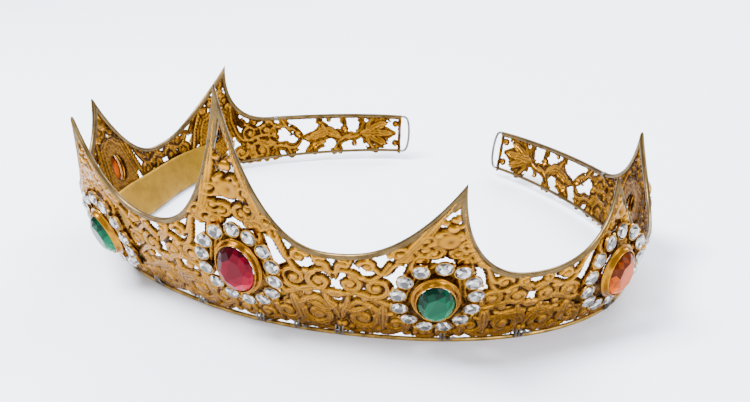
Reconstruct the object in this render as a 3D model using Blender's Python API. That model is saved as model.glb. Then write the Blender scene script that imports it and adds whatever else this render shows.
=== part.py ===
"""A gilt brass tiara: a pierced and stamped gallery with seven peaks, each set with a paste stone in a halo.

Metres, +Z up. The wearer faces -Y, and the tiara rests on the wire under its front.
The band is drawn flat in millimetres, with U along it from the middle peak, V the height above the
surface it rests on, and W outwards from the middle of the sheet. wrap() then bends it round the head.
"""

import math
from collections import namedtuple

import bmesh
import bpy
import numpy as np
from mathutils import Matrix, Vector

MM = 0.001
CLEAR = 0.3             # gap that touching pieces keep, in mm
WELD = 0.0001           # distance at which loose caps are welded, in mm

# The plan of the band: its distance from the middle of the head, either way round from the front
PLAN_ANGLES = (0, 40, 80, 115, 165)
PLAN_RADII = (53.3, 60.3, 78.0, 76.2, 71.8)
DENT_ANGLE = -87.7      # the wearer's right side is pushed in here
DENT_DEPTH = 10.9
DENT_SPREAD = 21.8
PLAN_MIDDLE = (3.34, 2.17)   # middle of the finished tiara's box, which is moved to the origin
END_STATION = 198.2     # where the band ends, along it from the middle peak

# The lean of the band, in degrees outwards
LEAN_STATIONS = (0, 43.6, 85.1, 130.9, 198.2)
LEAN_LOW = (27.7, 29.5, 24.0, 12.9, 12.1)
TURN_START = 12.0       # heights between which the lower lean turns into the upper one
TURN_END = 22.0
LEAN_SLICE = 17.0       # the sheet's faces are split at this height, where the lean changes
VALLEY_LEAN_SHARE = 0.7

# The sheet and what is soldered to it
SHEET = 0.8
RIM_WIDTH = 1.3
RIM_PROUD = 0.3
RIM_POWER = 2.6         # how fast the rim sweeps up to a tip
POINT_SHARE = 0.15      # how much of the sweep is left to the sharper point
POINT_POWER = 10.0
FRONT_FOOT = 1.75       # height of the gallery's lower edge in front
REAR_FOOT = 3.1         # and at the two rear ends
REAR_START = 100.0      # station beyond which the lower edge rises
REAR_TOP = 17.3         # height of the top edge where the rear ends begin
END_TOP = 16.4          # and at their very ends
LOOP_LENGTH = 3.6       # the wire loop at each end, soldered on
LOOP_WIRE = 0.8
LOOP_CORNER = 1.0       # how much its corners are cut off
RIM_LAP = 0.45          # how much of the rim strip's width stands above the sheet
RELIEF = 0.8            # how far leaves stand proud of the sheet
RIDGE_LONG = 0.86       # a leaf's ridge against its outline, in length
RIDGE_WIDE = 0.3        # and in width
BOSS_SHARE = 0.6        # how far bosses stand proud, against their radius
BOSS_TOP = 0.5          # a boss's flat top against its foot
LARGE_BOSS = 1.5        # bosses over this radius have eight sides and the rest six
SLICE = 11.0            # straight runs of the bent sheet, the same for all that follows it
FLAT_ANGLE = math.radians(0.5)   # faces that meet at less than this are one flat face
CUT_MERGE = 0.002       # points this near to a slice are on it
POINT_MERGE = 0.01      # points of the sliced sheet that are nearer than this are one

WIRE_RADIUS = 0.6
WIRE_SIDES = 8
FRONT_REACH = 128.0     # how far round the base wire and the lining run
LINING = 0.6
LINING_GAP = 0.6        # to the middle of the sheet's flat faces, which cut the corner of its lean
LINING_FOOT = 1.8
LINING_TOP = 11.5
LINING_RUNS = 8         # lengths that the strip's edges are drawn in

# One row a peak: station, tip height, upper lean, sideways turn of the tip, stone and halo
Peak = namedtuple("Peak", "name station tip lean shift wide high centre small_stones colour")
PEAKS = (
    Peak("right_rear", -130.9, 37.0, 10.9, -7.0, 6.4, 9.0, 14.5, 11, "pale_blue"),
    Peak("right_side", -85.1, 39.8, 11.6, 2.3, 8.4, 12.0, 17.2, 13, "amber"),
    Peak("right_front", -43.6, 49.8, 12.1, -0.3, 8.6, 12.4, 17.4, 13, "green"),
    Peak("centre", 0.0, 66.3, 8.9, 0.2, 10.0, 13.0, 20.6, 14, "ruby"),
    Peak("left_front", 43.6, 49.8, 21.2, 4.6, 8.6, 12.4, 17.7, 13, "green"),
    Peak("left_side", 85.1, 39.8, -6.6, 1.6, 8.4, 12.0, 17.2, 13, "amber"),
    Peak("left_rear", 130.9, 37.0, -0.3, -0.9, 6.4, 9.0, 14.5, 11, "pale_blue"),
)
VALLEYS = (17.5, 22.8, 29.0, 28.3, 22.8, 17.5)
PANEL_REACH = 22.0      # half the width of a peak where no neighbour bounds it

# Stones and settings
SETTING_BACK = SHEET / 2 + RIM_PROUD + CLEAR    # how far out the backs of the collets and halos are
COLLET_WALL = 1.5       # from the stone's edge to the collet's outer edge
# A collet's section: distance out from the stone's edge and height above the collet's back
COLLET_PROFILE = (
    (-0.9, 0.0),
    (1.15, 0.0),
    (COLLET_WALL, 0.6),
    (0.9, 0.95),
    (0.45, 2.1),
    (CLEAR, 1.2),
)
WINDOW_SHARE = 0.34     # the gap behind a stone against the stone
WINDOW_SIDES = 10
GIRDLE = 1.8            # height of a stone's widest ring above the collet's back
# A stone's rings: their size against its girdle and their height from it
STONE_RINGS = ((0.5, -1.3), (1.0, 0.0), (0.88, 1.1), (0.6, 2.0))
HALO_STONE = 3.9        # diameter of the small white stones
HALO_HIGH = 1.7
HALO_TABLE = 0.6        # a small stone's flat table against its width
CUP_SIDES = 8
HALO_STEPS = 720        # steps in which the halo's line is measured
CUP_OVERLAP = 0.25      # how far the cups of neighbouring small stones run into each other
ROUND_SIDES = 12
LEAF_STEPS = 3          # straight runs along each side of a leaf or gap

# Gaps in a peak: across 0 is the middle and 1 the valley; up runs from the foot (-1) past the
# halo's middle (0) to the rim (1); length and width in mm on the tallest peak; turn in degrees
# from the way the field runs; bow bends the gap; fat is where along it the gap is widest
Gap = namedtuple("Gap", "across up length width turn bow fat least_tip")
PEAK_GAPS = (
    Gap(0.16, 0.46, 5.2, 2.8, 0, 0.3, 0.5, 45),
    Gap(0.34, 0.42, 4.8, 2.5, 0, -0.3, 0.6, 45),
    Gap(0.56, 0.70, 5.4, 2.0, 0, 0.0, 0.5, 0),
    Gap(0.67, 0.30, 4.6, 2.6, 10, 0.4, 0.4, 38),
    Gap(0.82, 0.74, 5.0, 1.9, 0, 0.3, 0.5, 0),
    Gap(0.90, 0.34, 3.8, 2.4, 25, 0.4, 0.4, 45),
    Gap(0.62, -0.80, 4.6, 1.4, 0, 0.3, 0.5, 0),
    Gap(0.90, -0.50, 3.6, 1.8, 20, -0.3, 0.5, 60),
)
RIM_SHARES = (0.0, 0.016, 0.09, 0.2, 0.34, 0.52, 0.76)   # the rim's points along half a peak
SHEET_SHARES = (0.0, 0.1, 0.25, 0.45, 0.7)               # and those of the sheet behind it
TIP_GAP = 0.22      # length of the gap under a tip's spike, against the height from the halo to the tip
SPIKE = 8.5         # how much of a tip is solid above that gap, in mm on the tallest peak
LEG_SHARE = 0.4     # how wide that gap is half way up, against its foot
RIM_STEP = 0.2      # the rim's slope is measured over this length, in mm
LEAST_SIZE = 0.55   # size of the ornament on a peak of no height, against that on the tallest
FIELD_SPLIT = 0.42  # where the lower field ends beside a halo, against the height of the rim there

# Gaps in a rear end: back is mm from its end, and up 0 to 1 from its lower edge to its upper one
EndGap = namedtuple("EndGap", "back up length width turn bow fat")
END_GAPS = (
    EndGap(5.0, 0.76, 3.6, 2.4, 0, 0.0, 0.4),
    EndGap(5.0, 0.20, 3.6, 2.4, 0, 0.0, 0.4),
    EndGap(11.6, 0.18, 4.4, 2.0, 0, 0.0, 0.6),
    EndGap(16.4, 0.72, 4.0, 3.4, -10, 0.0, 0.5),
    EndGap(18.4, 0.20, 3.8, 2.8, 10, 0.0, 0.5),
    EndGap(23.6, 0.74, 5.4, 3.2, 4, 0.0, 0.4),
    EndGap(26.2, 0.22, 6.0, 3.6, 8, 0.4, 0.6),
    EndGap(32.4, 0.74, 5.8, 3.2, -8, -0.4, 0.4),
    EndGap(36.0, 0.24, 5.6, 3.6, -8, 0.0, 0.5),
    EndGap(41.0, 0.68, 5.2, 3.8, 20, 0.0, 0.5),
)

# Raised leaves and domed bosses of a peak, in the same columns as its gaps
Leaf = namedtuple("Leaf", "across up length width turn bow fat")
PEAK_LEAVES = (
    Leaf(0.72, 0.50, 7.4, 1.4, -4, 0.8, 0.4),
    Leaf(0.80, -0.08, 8.6, 2.6, 0, 0.8, 0.4),
)
Boss = namedtuple("Boss", "across up radius least_tip")
PEAK_BOSSES = (
    Boss(0.0, 0.24, 2.6, 0),
    Boss(0.0, 0.44, 2.0, 45),
    Boss(0.42, 0.44, 1.3, 45),
    Boss(0.97, 0.14, 1.5, 0),
    Boss(0.82, -0.62, 1.2, 0),
)
# The same of a rear end, in the same columns as its gaps
END_LEAVES = (EndGap(11.0, 0.50, 9.0, 4.0, 0, 0.0, 0.4), EndGap(28.8, 0.47, 13.0, 2.2, -6, 1.2, 0.5))
EndBoss = namedtuple("EndBoss", "back up radius")
END_BOSSES = (
    EndBoss(2.0, 0.74, 1.1),
    EndBoss(2.0, 0.24, 1.1),
    EndBoss(20.4, 0.50, 1.5),
    EndBoss(37.4, 0.54, 1.6),
)


def clear_scene():
    for old in list(bpy.data.objects):
        bpy.data.objects.remove(old, do_unlink=True)


def plan_table():
    """Stations along the band with the plan's x and y there, in mm."""
    orders = range(len(PLAN_ANGLES))
    angles = np.radians(PLAN_ANGLES)
    waves = np.array([[math.cos(order * angle) for order in orders] for angle in angles])
    shares = np.linalg.solve(waves, np.array(PLAN_RADII))
    turn = np.radians(np.linspace(-178, 178, 1425))
    radius = sum(share * np.cos(order * turn) for order, share in zip(orders, shares))
    radius -= DENT_DEPTH * np.exp(-(((turn - math.radians(DENT_ANGLE)) / math.radians(DENT_SPREAD)) ** 2))
    x = radius * np.sin(turn)
    y = -radius * np.cos(turn)
    station = np.concatenate([[0], np.cumsum(np.hypot(np.diff(x), np.diff(y)))])
    station -= np.interp(0, turn, station)
    return station, x - PLAN_MIDDLE[0], y - PLAN_MIDDLE[1]


STATIONS, PLAN_X, PLAN_Y = plan_table()


def plan(station):
    """The plan's point and its outward normal at a station, in mm."""
    step = 2.0
    here, before, after = (
        Vector((np.interp(at, STATIONS, PLAN_X), np.interp(at, STATIONS, PLAN_Y)))
        for at in (station, station - step, station + step)
    )
    along = (after - before).normalized()
    return here, Vector((along.y, -along.x))


def low_lean(station):
    return math.tan(math.radians(np.interp(abs(station), LEAN_STATIONS, LEAN_LOW)))


def lean_rows():
    """Stations of the peaks and valleys, with the tangent of the upper lean at each."""
    rows = [(peak.station, math.tan(math.radians(peak.lean))) for peak in PEAKS]
    for before, after in zip(PEAKS, PEAKS[1:]):
        middle = (before.station + after.station) / 2
        rows.append((middle, VALLEY_LEAN_SHARE * low_lean(middle)))
    return sorted(rows)


HIGH_LEANS = lean_rows()


def nearest_peak(u):
    return min(PEAKS, key=lambda peak: abs(peak.station - u))


def side_reach(peak, side):
    """Half the width of a peak on one side, and the height of its valley there."""
    spot = PEAKS.index(peak)
    if 0 <= spot + side < len(PEAKS):
        other = PEAKS[spot + side]
        return abs(other.station - peak.station) / 2, VALLEYS[min(spot, spot + side)]
    return PANEL_REACH, REAR_TOP


def rim_height(u):
    """The height of the scalloped top edge."""
    peak = nearest_peak(u)
    reach, valley = side_reach(peak, 1 if u > peak.station else -1)
    rest = max(0.0, 1 - abs(u - peak.station) / reach)
    last = PEAKS[-1].station + PANEL_REACH
    taper = (REAR_TOP - END_TOP) * max(0.0, abs(u) - last) / (END_STATION - last)
    sweep = (1 - POINT_SHARE) * rest**RIM_POWER + POINT_SHARE * rest**POINT_POWER
    return valley + (peak.tip - valley) * sweep - taper


def foot_height(u):
    """The height of the gallery's lower edge, which rises a little towards the rear."""
    share = max(0.0, (abs(u) - REAR_START) / (END_STATION - REAR_START))
    return FRONT_FOOT + (REAR_FOOT - FRONT_FOOT) * share


def lean_at(u, v):
    """The tangent of the sheet's lean, and how far out it has come, at a place on the flat band."""
    low = low_lean(u)
    high = np.interp(u, [row[0] for row in HIGH_LEANS], [row[1] for row in HIGH_LEANS])
    turn = TURN_END - TURN_START
    turned = min(max(v - TURN_START, 0.0), turn)
    out = low * v + (high - low) * (turned * turned / (2 * turn) + max(v - TURN_END, 0.0))
    return low + (high - low) * turned / turn, out


def place(u, v, w):
    """A point of the flat band, bent round the head: millimetres in, metres out."""
    peak = nearest_peak(u)
    reach, _ = side_reach(peak, 1 if u > peak.station else -1)
    middle = (TURN_START + TURN_END) / 2
    rise = min(max((v - middle) / (peak.tip - middle), 0.0), 1.0)
    beside = max(0.0, 1 - abs(u - peak.station) / reach)
    here, out = plan(u + peak.shift * rise * beside)
    slope, reached = lean_at(u, v)
    lean = math.atan(slope)
    flat = here + out * (reached + w * math.cos(lean))
    return Vector((flat.x, flat.y, v - w * math.sin(lean))) * MM


def ellipse(wide, high, sides):
    turns = [2 * math.pi * (step + 0.5) / sides for step in range(sides)]
    return [(wide * math.cos(turn), high * math.sin(turn)) for turn in turns]


def halo_line(peak):
    """Half width and half height of the line that the small stones' middles stand on."""
    out = COLLET_WALL + CLEAR + HALO_STONE / 2
    return peak.wide / 2 + out, peak.high / 2 + out


def field_height(peak, side, across, up):
    """The height of a place in a peak, between its foot, its halo and its rim."""
    reach, _ = side_reach(peak, side)
    u = peak.station + side * across * reach
    wide, high = (half + HALO_STONE / 2 for half in halo_line(peak))
    half = high * math.sqrt(max(0.0, 1 - (across * reach / wide) ** 2))
    foot, rim = foot_height(u), rim_height(u)
    split = foot + FIELD_SPLIT * (rim - foot)
    if up > 0:
        low = max(split, peak.centre + half) if half else split
        return low + (rim - low) * up
    top = min(split, peak.centre - half) if half else split
    return top + (top - foot) * up


def leaf_outline(row, long=1.0, wide=1.0):
    """A row's pointed leaf or gap lying along X, widest where fat says, or one narrowed by two shares."""
    line = []
    for step in range(LEAF_STEPS + 1):
        t = step / LEAF_STEPS
        x = (t - 0.5) * row.length * long
        share = t ** (math.log(0.5) / math.log(row.fat))
        half = row.width * wide / 2 * math.sin(math.pi * share)
        line.append((x, row.bow * (1 - (2 * t - 1) ** 2), half))
    over = [(x, y + half) for x, y, half in line]
    under = [(x, y - half) for x, y, half in line[-2:0:-1]]
    return over + under


def spot_on_peak(peak, side, row):
    reach, _ = side_reach(peak, side)
    return Vector((peak.station + side * row.across * reach, field_height(peak, side, row.across, row.up)))


def set_on_peak(points, peak, side, row):
    """Turns and moves points to a row's place in a peak, along the way that the field runs there."""
    reach, _ = side_reach(peak, side)
    step = 0.02
    ahead = field_height(peak, side, row.across + step, row.up)
    back = field_height(peak, side, max(row.across - step, 0.0), row.up)
    slope = math.atan2(ahead - back, 2 * step * reach) + math.radians(row.turn)
    return turn_and_move(points, slope, spot_on_peak(peak, side, row), side, panel_size(peak))


def turn_and_move(points, angle, middle, side, size=1.0):
    """Turns, sizes and moves points, mirrored on the side towards the wearer's right."""
    cos, sin = math.cos(angle) * size, math.sin(angle) * size
    placed = [(middle.x + side * (x * cos - y * sin), middle.y + x * sin + y * cos) for x, y in points]
    return placed if side > 0 else placed[::-1]


def panel_size(peak):
    """How large a peak's ornament is against that of the middle peak."""
    return LEAST_SIZE + (1 - LEAST_SIZE) * peak.tip / PEAKS[len(PEAKS) // 2].tip


def spot_on_end(side, row):
    return Vector((side * (END_STATION - row.back), REAR_FOOT + (END_TOP - REAR_FOOT) * row.up))


def set_on_end(points, side, row):
    """Turns and moves points to a row's place in a rear end."""
    return turn_and_move(points, -math.radians(row.turn), spot_on_end(side, row), side)


def gap_outlines():
    """Every gap that is cut through the gallery."""
    gaps = []
    for peak in PEAKS:
        window = ellipse(peak.wide * WINDOW_SHARE, peak.high * WINDOW_SHARE, WINDOW_SIDES)
        gaps.append([(peak.station + x, peak.centre + y) for x, y in window])
        gaps.append(tip_gap(peak))
        for side in (-1, 1):
            for row in PEAK_GAPS:
                if peak.tip > row.least_tip:
                    gaps.append(set_on_peak(leaf_outline(row), peak, side, row))
    for side in (-1, 1):
        for row in END_GAPS:
            gaps.append(set_on_end(leaf_outline(row), side, row))
        loop = END_STATION + LOOP_LENGTH / 2 - LOOP_WIRE / 2
        tall = (END_TOP - REAR_FOOT) / 2 - LOOP_WIRE
        middle = (END_TOP + REAR_FOOT) / 2
        corners = ellipse((LOOP_LENGTH - LOOP_WIRE) / 2, tall, CUP_SIDES)
        gaps.append([(side * (loop + x), middle + y) for x, y in corners])
    return gaps


def tip_gap(peak):
    """The narrow triangle between the two legs of the rim, under the spike."""
    halo_top = peak.centre + halo_line(peak)[1] + HALO_STONE / 2
    high = peak.tip - SPIKE * panel_size(peak)
    low = high - TIP_GAP * (peak.tip - halo_top)
    right, left = (leg_reach(peak, side, low) for side in (1, -1))
    return [
        (peak.station - left, low),
        (peak.station + right, low),
        (peak.station + right * LEG_SHARE, (low + high) / 2),
        (peak.station, high),
        (peak.station - left * LEG_SHARE, (low + high) / 2),
    ]


def leg_reach(peak, side, height):
    """How far from a peak's middle its rim's inner edge is at a height."""
    out = 0.0
    while rim_height(peak.station + side * out) - rim_drop(peak.station + side * out) > height:
        out += RIM_STEP / 2
    return out


def rim_stations(shares):
    """Stations of an edge's points, at shares of each half peak."""
    found = {-END_STATION, END_STATION}
    for peak in PEAKS:
        for side in (-1, 1):
            reach, _ = side_reach(peak, side)
            found.update(round(peak.station + side * share * reach, 4) for share in shares)
            found.add(round(peak.station + side * reach, 4))
    return sorted(found)


def rim_drop(u):
    """How far below the top edge the rim strip's lower edge is, so that its width stays even."""
    slope = max(abs(rim_height(u + step) - rim_height(u)) / RIM_STEP for step in (-RIM_STEP, RIM_STEP))
    return RIM_WIDTH * math.hypot(1, slope)


def flat_plate(name, outlines, low, high):
    """A flat plate between two heights W, or several plates, as a mesh object in mm."""
    curve = bpy.data.curves.new(name, "CURVE")
    curve.dimensions = "2D"
    curve.fill_mode = "BOTH"
    curve.extrude = (high - low) / 2
    for points in outlines:
        spline = curve.splines.new("POLY")
        spline.points.add(len(points) - 1)
        for point, (x, y) in zip(spline.points, points):
            point.co = (x, y, 0, 1)
        spline.use_cyclic_u = True
    return mesh_from_curve(name, curve, Matrix.Translation((0, 0, (low + high) / 2)))


def mesh_from_curve(name, curve, move):
    drawn = bpy.data.objects.new(name, curve)
    bpy.context.scene.collection.objects.link(drawn)
    seen = bpy.context.evaluated_depsgraph_get()
    mesh = bpy.data.meshes.new_from_object(drawn.evaluated_get(seen))
    bpy.data.objects.remove(drawn)
    bm = bmesh.new()
    bm.from_mesh(mesh)
    bmesh.ops.remove_doubles(bm, verts=bm.verts, dist=WELD)
    bmesh.ops.transform(bm, matrix=move, verts=bm.verts)
    bmesh.ops.recalc_face_normals(bm, faces=bm.faces)
    bm.to_mesh(mesh)
    bm.free()
    return new_object(name, mesh)


def new_object(name, mesh):
    made = bpy.data.objects.new(name, mesh)
    bpy.context.scene.collection.objects.link(made)
    return made


def leaf_relief(outline, ridge):
    """A raised leaf: its outline stands in the sheet, and its back narrows to a ridge."""
    bm = bmesh.new()
    foot = [bm.verts.new((x, y, 0)) for x, y in outline]
    base = bm.faces.new(foot)
    grown = bmesh.ops.extrude_face_region(bm, geom=[base], use_keep_orig=True)
    raised = [vert for vert in grown["geom"] if isinstance(vert, bmesh.types.BMVert)]
    for vert in raised:
        spot = min(range(len(foot)), key=lambda at: (foot[at].co.xy - vert.co.xy).length)
        vert.co = (*ridge[spot], SHEET / 2 + RELIEF)
    bmesh.ops.recalc_face_normals(bm, faces=bm.faces)
    mesh = bpy.data.meshes.new("leaf")
    bm.to_mesh(mesh)
    bm.free()
    return new_object("leaf", mesh)


def boss_relief(radius, middle):
    """A low boss with a sloping wall and a flat top, standing in the sheet."""
    bm = bmesh.new()
    sides = 8 if radius > LARGE_BOSS else 6
    depth = SHEET / 2 + radius * BOSS_SHARE
    top = radius * BOSS_TOP
    bmesh.ops.create_cone(bm, segments=sides, radius1=radius, radius2=top, depth=depth, cap_ends=True)
    bmesh.ops.translate(bm, vec=(*middle, depth / 2), verts=bm.verts)
    mesh = bpy.data.meshes.new("boss")
    bm.to_mesh(mesh)
    bm.free()
    return new_object("boss", mesh)


def combine(base, pieces, operation):
    """Adds pieces to a base or cuts them out of it, as one closed mesh."""
    for piece in pieces:
        modifier = base.modifiers.new("combine", "BOOLEAN")
        modifier.operation = operation
        modifier.solver = "EXACT"
        modifier.object = piece
        seen = bpy.context.evaluated_depsgraph_get()
        mesh = bpy.data.meshes.new_from_object(base.evaluated_get(seen))
        base.modifiers.clear()
        base.data = mesh
        bpy.data.objects.remove(piece)
    return base


def wrap(flat, slices=()):
    """Slices a flat object across the band and along the given heights, then bends it round the head."""
    bm = bmesh.new()
    bm.from_mesh(flat.data)
    first = math.ceil(min(vert.co.x for vert in bm.verts) / SLICE)
    last = math.floor(max(vert.co.x for vert in bm.verts) / SLICE)
    bmesh.ops.dissolve_limit(bm, angle_limit=FLAT_ANGLE, verts=bm.verts, edges=bm.edges)
    planes = [((SLICE * cut, 0, 0), (1, 0, 0)) for cut in range(first, last + 1)]
    planes += [((0, height, 0), (0, 1, 0)) for height in slices]
    for point, across in planes:
        everything = [*bm.verts, *bm.edges, *bm.faces]
        bmesh.ops.bisect_plane(bm, geom=everything, dist=CUT_MERGE, plane_co=point, plane_no=across)
    bmesh.ops.remove_doubles(bm, verts=bm.verts, dist=POINT_MERGE)
    bmesh.ops.triangulate(bm, faces=bm.faces)
    for vert in bm.verts:
        vert.co = place(*vert.co)
    bm.to_mesh(flat.data)
    bm.free()
    return flat


def gallery():
    """The pierced sheet with its rim, leaves, bosses and end loops, soldered into one."""
    coarse = rim_stations(SHEET_SHARES)
    top = [(u, rim_height(u) - RIM_LAP * rim_drop(u)) for u in coarse]
    half = (END_TOP - REAR_FOOT) / 2
    middle = (END_TOP + REAR_FOOT) / 2
    far = END_STATION + LOOP_LENGTH
    near = far - LOOP_CORNER
    short = half - LOOP_CORNER
    loop = [(near, half), (far, short), (far, -short), (near, -half)]
    right_loop = [(u, middle + v) for u, v in loop]
    left_loop = [(-u, v) for u, v in right_loop[::-1]]
    foot = [(REAR_START, FRONT_FOOT), (-REAR_START, FRONT_FOOT)]
    outline = top + right_loop + foot + left_loop
    sheet = flat_plate("gallery", [outline], -SHEET / 2, SHEET / 2)
    gaps = flat_plate("gaps", gap_outlines(), -SHEET, SHEET)
    fine = rim_stations(RIM_SHARES)
    over = [(u, rim_height(u)) for u in fine]
    under = [(u, rim_height(u) - rim_drop(u)) for u in fine[::-1]]
    rim = flat_plate("rim", [over + under], -SHEET / 2 - RIM_PROUD, SHEET / 2 + RIM_PROUD)
    pierced = combine(sheet, [gaps], "DIFFERENCE")
    return wrap(combine(pierced, [rim, *relief()], "UNION"), (LEAN_SLICE,))


def relief():
    """The raised leaves and bosses of every peak and of the two ends."""
    made = []
    for peak in PEAKS:
        for side in (-1, 1):
            for row in PEAK_LEAVES:
                outline = set_on_peak(leaf_outline(row), peak, side, row)
                ridge = set_on_peak(leaf_outline(row, RIDGE_LONG, RIDGE_WIDE), peak, side, row)
                made.append(leaf_relief(outline, ridge))
            for row in PEAK_BOSSES:
                if peak.tip > row.least_tip and (row.across > 0 or side > 0):
                    made.append(boss_relief(row.radius * panel_size(peak), spot_on_peak(peak, side, row)))
    for side in (-1, 1):
        for row in END_LEAVES:
            outline = set_on_end(leaf_outline(row), side, row)
            ridge = set_on_end(leaf_outline(row, RIDGE_LONG, RIDGE_WIDE), side, row)
            made.append(leaf_relief(outline, ridge))
        for row in END_BOSSES:
            made.append(boss_relief(row.radius, spot_on_end(side, row)))
    return made


def halo(peak):
    """A ring of small faceted stones in cups that touch, so that they are one piece."""
    wide, high = halo_line(peak)
    around = [2 * math.pi * step / HALO_STEPS for step in range(HALO_STEPS + 1)]
    line = [Vector((wide * math.sin(turn), high * math.cos(turn))) for turn in around]
    run = np.concatenate([[0], np.cumsum([(after - before).length for before, after in zip(line, line[1:])])])
    spacing = run[-1] / peak.small_stones
    foot, top = spacing / 2 + CUP_OVERLAP, HALO_STONE / 2 * HALO_TABLE
    cups = []
    for number in range(peak.small_stones):
        turn = np.interp(number * spacing, run, around)
        bm = bmesh.new()
        bmesh.ops.create_cone(
            bm, segments=CUP_SIDES, radius1=foot, radius2=top, depth=HALO_HIGH, cap_ends=True
        )
        move = Matrix.Rotation(-turn + math.pi / CUP_SIDES, 4, "Z")
        spot = (peak.station + wide * math.sin(turn), peak.centre + high * math.cos(turn))
        bmesh.ops.transform(bm, matrix=move, verts=bm.verts)
        bmesh.ops.translate(bm, vec=(*spot, SETTING_BACK + HALO_HIGH / 2), verts=bm.verts)
        mesh = bpy.data.meshes.new("cup")
        bm.to_mesh(mesh)
        bm.free()
        cups.append(new_object("cup", mesh))
    ring = combine(cups[0], cups[1:], "UNION")
    ring.name = "halo_" + peak.name
    return wrap(ring)


def stone_frame(peak):
    """Where a peak's stone is mounted: X along the band, Y up the sheet and Z outwards."""
    middle = place(peak.station, peak.centre, 0)
    along = (place(peak.station + 0.5, peak.centre, 0) - place(peak.station - 0.5, peak.centre, 0)).normalized()
    up = (place(peak.station, peak.centre + 0.5, 0) - place(peak.station, peak.centre - 0.5, 0)).normalized()
    out = along.cross(up).normalized()
    up = out.cross(along)
    turned = Matrix((along, up, out)).transposed().to_4x4()
    return Matrix.Translation(middle) @ turned


def oval_loops(rings):
    """Points of oval rings in a new mesh, each with its half width, half height and distance out."""
    bm = bmesh.new()
    loops = []
    for wide, high, out in rings:
        loops.append([bm.verts.new((x, y, out)) for x, y in ellipse(wide, high, ROUND_SIDES)])
    return bm, loops


def collet(peak):
    """The smooth oval saucer that holds a stone: a rolled rim, a cove and a lip round an open middle."""
    wide, high = peak.wide / 2, peak.high / 2
    rings = [(wide + out, high + out, SETTING_BACK + at) for out, at in COLLET_PROFILE]
    bm, loops = oval_loops(rings)
    for ring, after in zip(loops, loops[1:] + loops[:1]):
        bridge(bm, ring, after)
    return finish_oval(bm, "collet_" + peak.name, peak)


def bridge(bm, ring, after):
    for step in range(ROUND_SIDES):
        turn = (step + 1) % ROUND_SIDES
        bm.faces.new((ring[step], ring[turn], after[turn], after[step]))


def stone(peak):
    """An oval stone with a flat table, a ring of crown facets and a pointed pavilion cut flat."""
    wide, high = peak.wide / 2, peak.high / 2
    rings = [(wide * size, high * size, SETTING_BACK + GIRDLE + out) for size, out in STONE_RINGS]
    bm, loops = oval_loops(rings)
    for ring, after in zip(loops, loops[1:]):
        bridge(bm, ring, after)
    bm.faces.new(loops[0][::-1])
    bm.faces.new(loops[-1])
    return finish_oval(bm, "stone_" + peak.name, peak)


def finish_oval(bm, name, peak):
    bmesh.ops.recalc_face_normals(bm, faces=bm.faces)
    bmesh.ops.scale(bm, vec=(MM, MM, MM), verts=bm.verts)
    mesh = bpy.data.meshes.new(name)
    bm.to_mesh(mesh)
    bm.free()
    made = new_object(name, mesh)
    made.matrix_world = stone_frame(peak)
    return made


def base_wire():
    """The wire under the gallery's foot, with a flat facet of its eight sides down."""
    curve = bpy.data.curves.new("base_wire", "CURVE")
    curve.dimensions = "3D"
    curve.bevel_depth = WIRE_RADIUS * MM
    curve.bevel_resolution = WIRE_SIDES // 2 - 2
    curve.use_fill_caps = True
    curve.twist_mode = "Z_UP"
    steps = 2 * round(FRONT_REACH / SLICE)
    spline = curve.splines.new("POLY")
    spline.points.add(steps)
    half_side = math.pi / WIRE_SIDES
    height = WIRE_RADIUS * math.cos(half_side)
    for number, point in enumerate(spline.points):
        station = FRONT_REACH * (2 * number / steps - 1)
        here, out = plan(station)
        foot = here + out * low_lean(station) * FRONT_FOOT
        point.co = (foot.x * MM, foot.y * MM, height * MM, 1)
        point.tilt = half_side
    return mesh_from_curve("base_wire", curve, Matrix.Identity(4))


def lining_band():
    """The plain strip inside the gallery's foot."""
    stations = [FRONT_REACH * share for share in np.linspace(-1, 1, LINING_RUNS + 1)]
    top = [(u, LINING_TOP) for u in stations]
    foot = [(u, LINING_FOOT) for u in stations[::-1]]
    outer = -SHEET / 2 - LINING_GAP
    return wrap(flat_plate("lining_band", [top + foot], outer - LINING, outer))


# The look of each kind of piece: linear colour, metallic and roughness
FINISHES = {
    "gilt_brass": ((0.58, 0.32, 0.055), 1.0, 0.34),
    "matte_gilt": ((0.50, 0.31, 0.08), 1.0, 0.5),
    "base_brass": ((0.36, 0.24, 0.09), 1.0, 0.4),
    "ruby": ((0.35, 0.006, 0.04), 0.0, 0.06),
    "green": ((0.006, 0.20, 0.11), 0.0, 0.06),
    "amber": ((0.72, 0.27, 0.09), 0.0, 0.06),
    "pale_blue": ((0.10, 0.19, 0.50), 0.0, 0.06),
    "white_paste": ((0.80, 0.80, 0.78), 0.0, 0.06),
}


def finish_material(name):
    colour, metallic, roughness = FINISHES[name]
    material = bpy.data.materials.get(name) or bpy.data.materials.new(name)
    material.use_nodes = True
    shader = material.node_tree.nodes["Principled BSDF"]
    shader.inputs["Base Color"].default_value = (*colour, 1)
    shader.inputs["Metallic"].default_value = metallic
    shader.inputs["Roughness"].default_value = roughness
    return material


def keep(made, finish, parts):
    """Gives a finished piece its material and its collection."""
    made.data.materials.clear()
    made.data.materials.append(finish_material(finish))
    for old in list(made.users_collection):
        old.objects.unlink(made)
    parts.objects.link(made)


def main():
    clear_scene()
    parts = bpy.data.collections.new("tiara")
    bpy.context.scene.collection.children.link(parts)
    keep(gallery(), "gilt_brass", parts)
    keep(lining_band(), "matte_gilt", parts)
    keep(base_wire(), "base_brass", parts)
    for peak in PEAKS:
        keep(halo(peak), "white_paste", parts)
        keep(collet(peak), "gilt_brass", parts)
        keep(stone(peak), peak.colour, parts)


main()
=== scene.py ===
"""The looks of a gilt brass tiara, stamped, pierced and set with coloured pastes.

The band is drawn flat in millimetres: U along it from the middle peak, V the height above the table and
W outwards from the middle of the sheet. place() bends it round the head and gives metres, +Z up.
"""

import math
from collections import namedtuple

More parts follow.
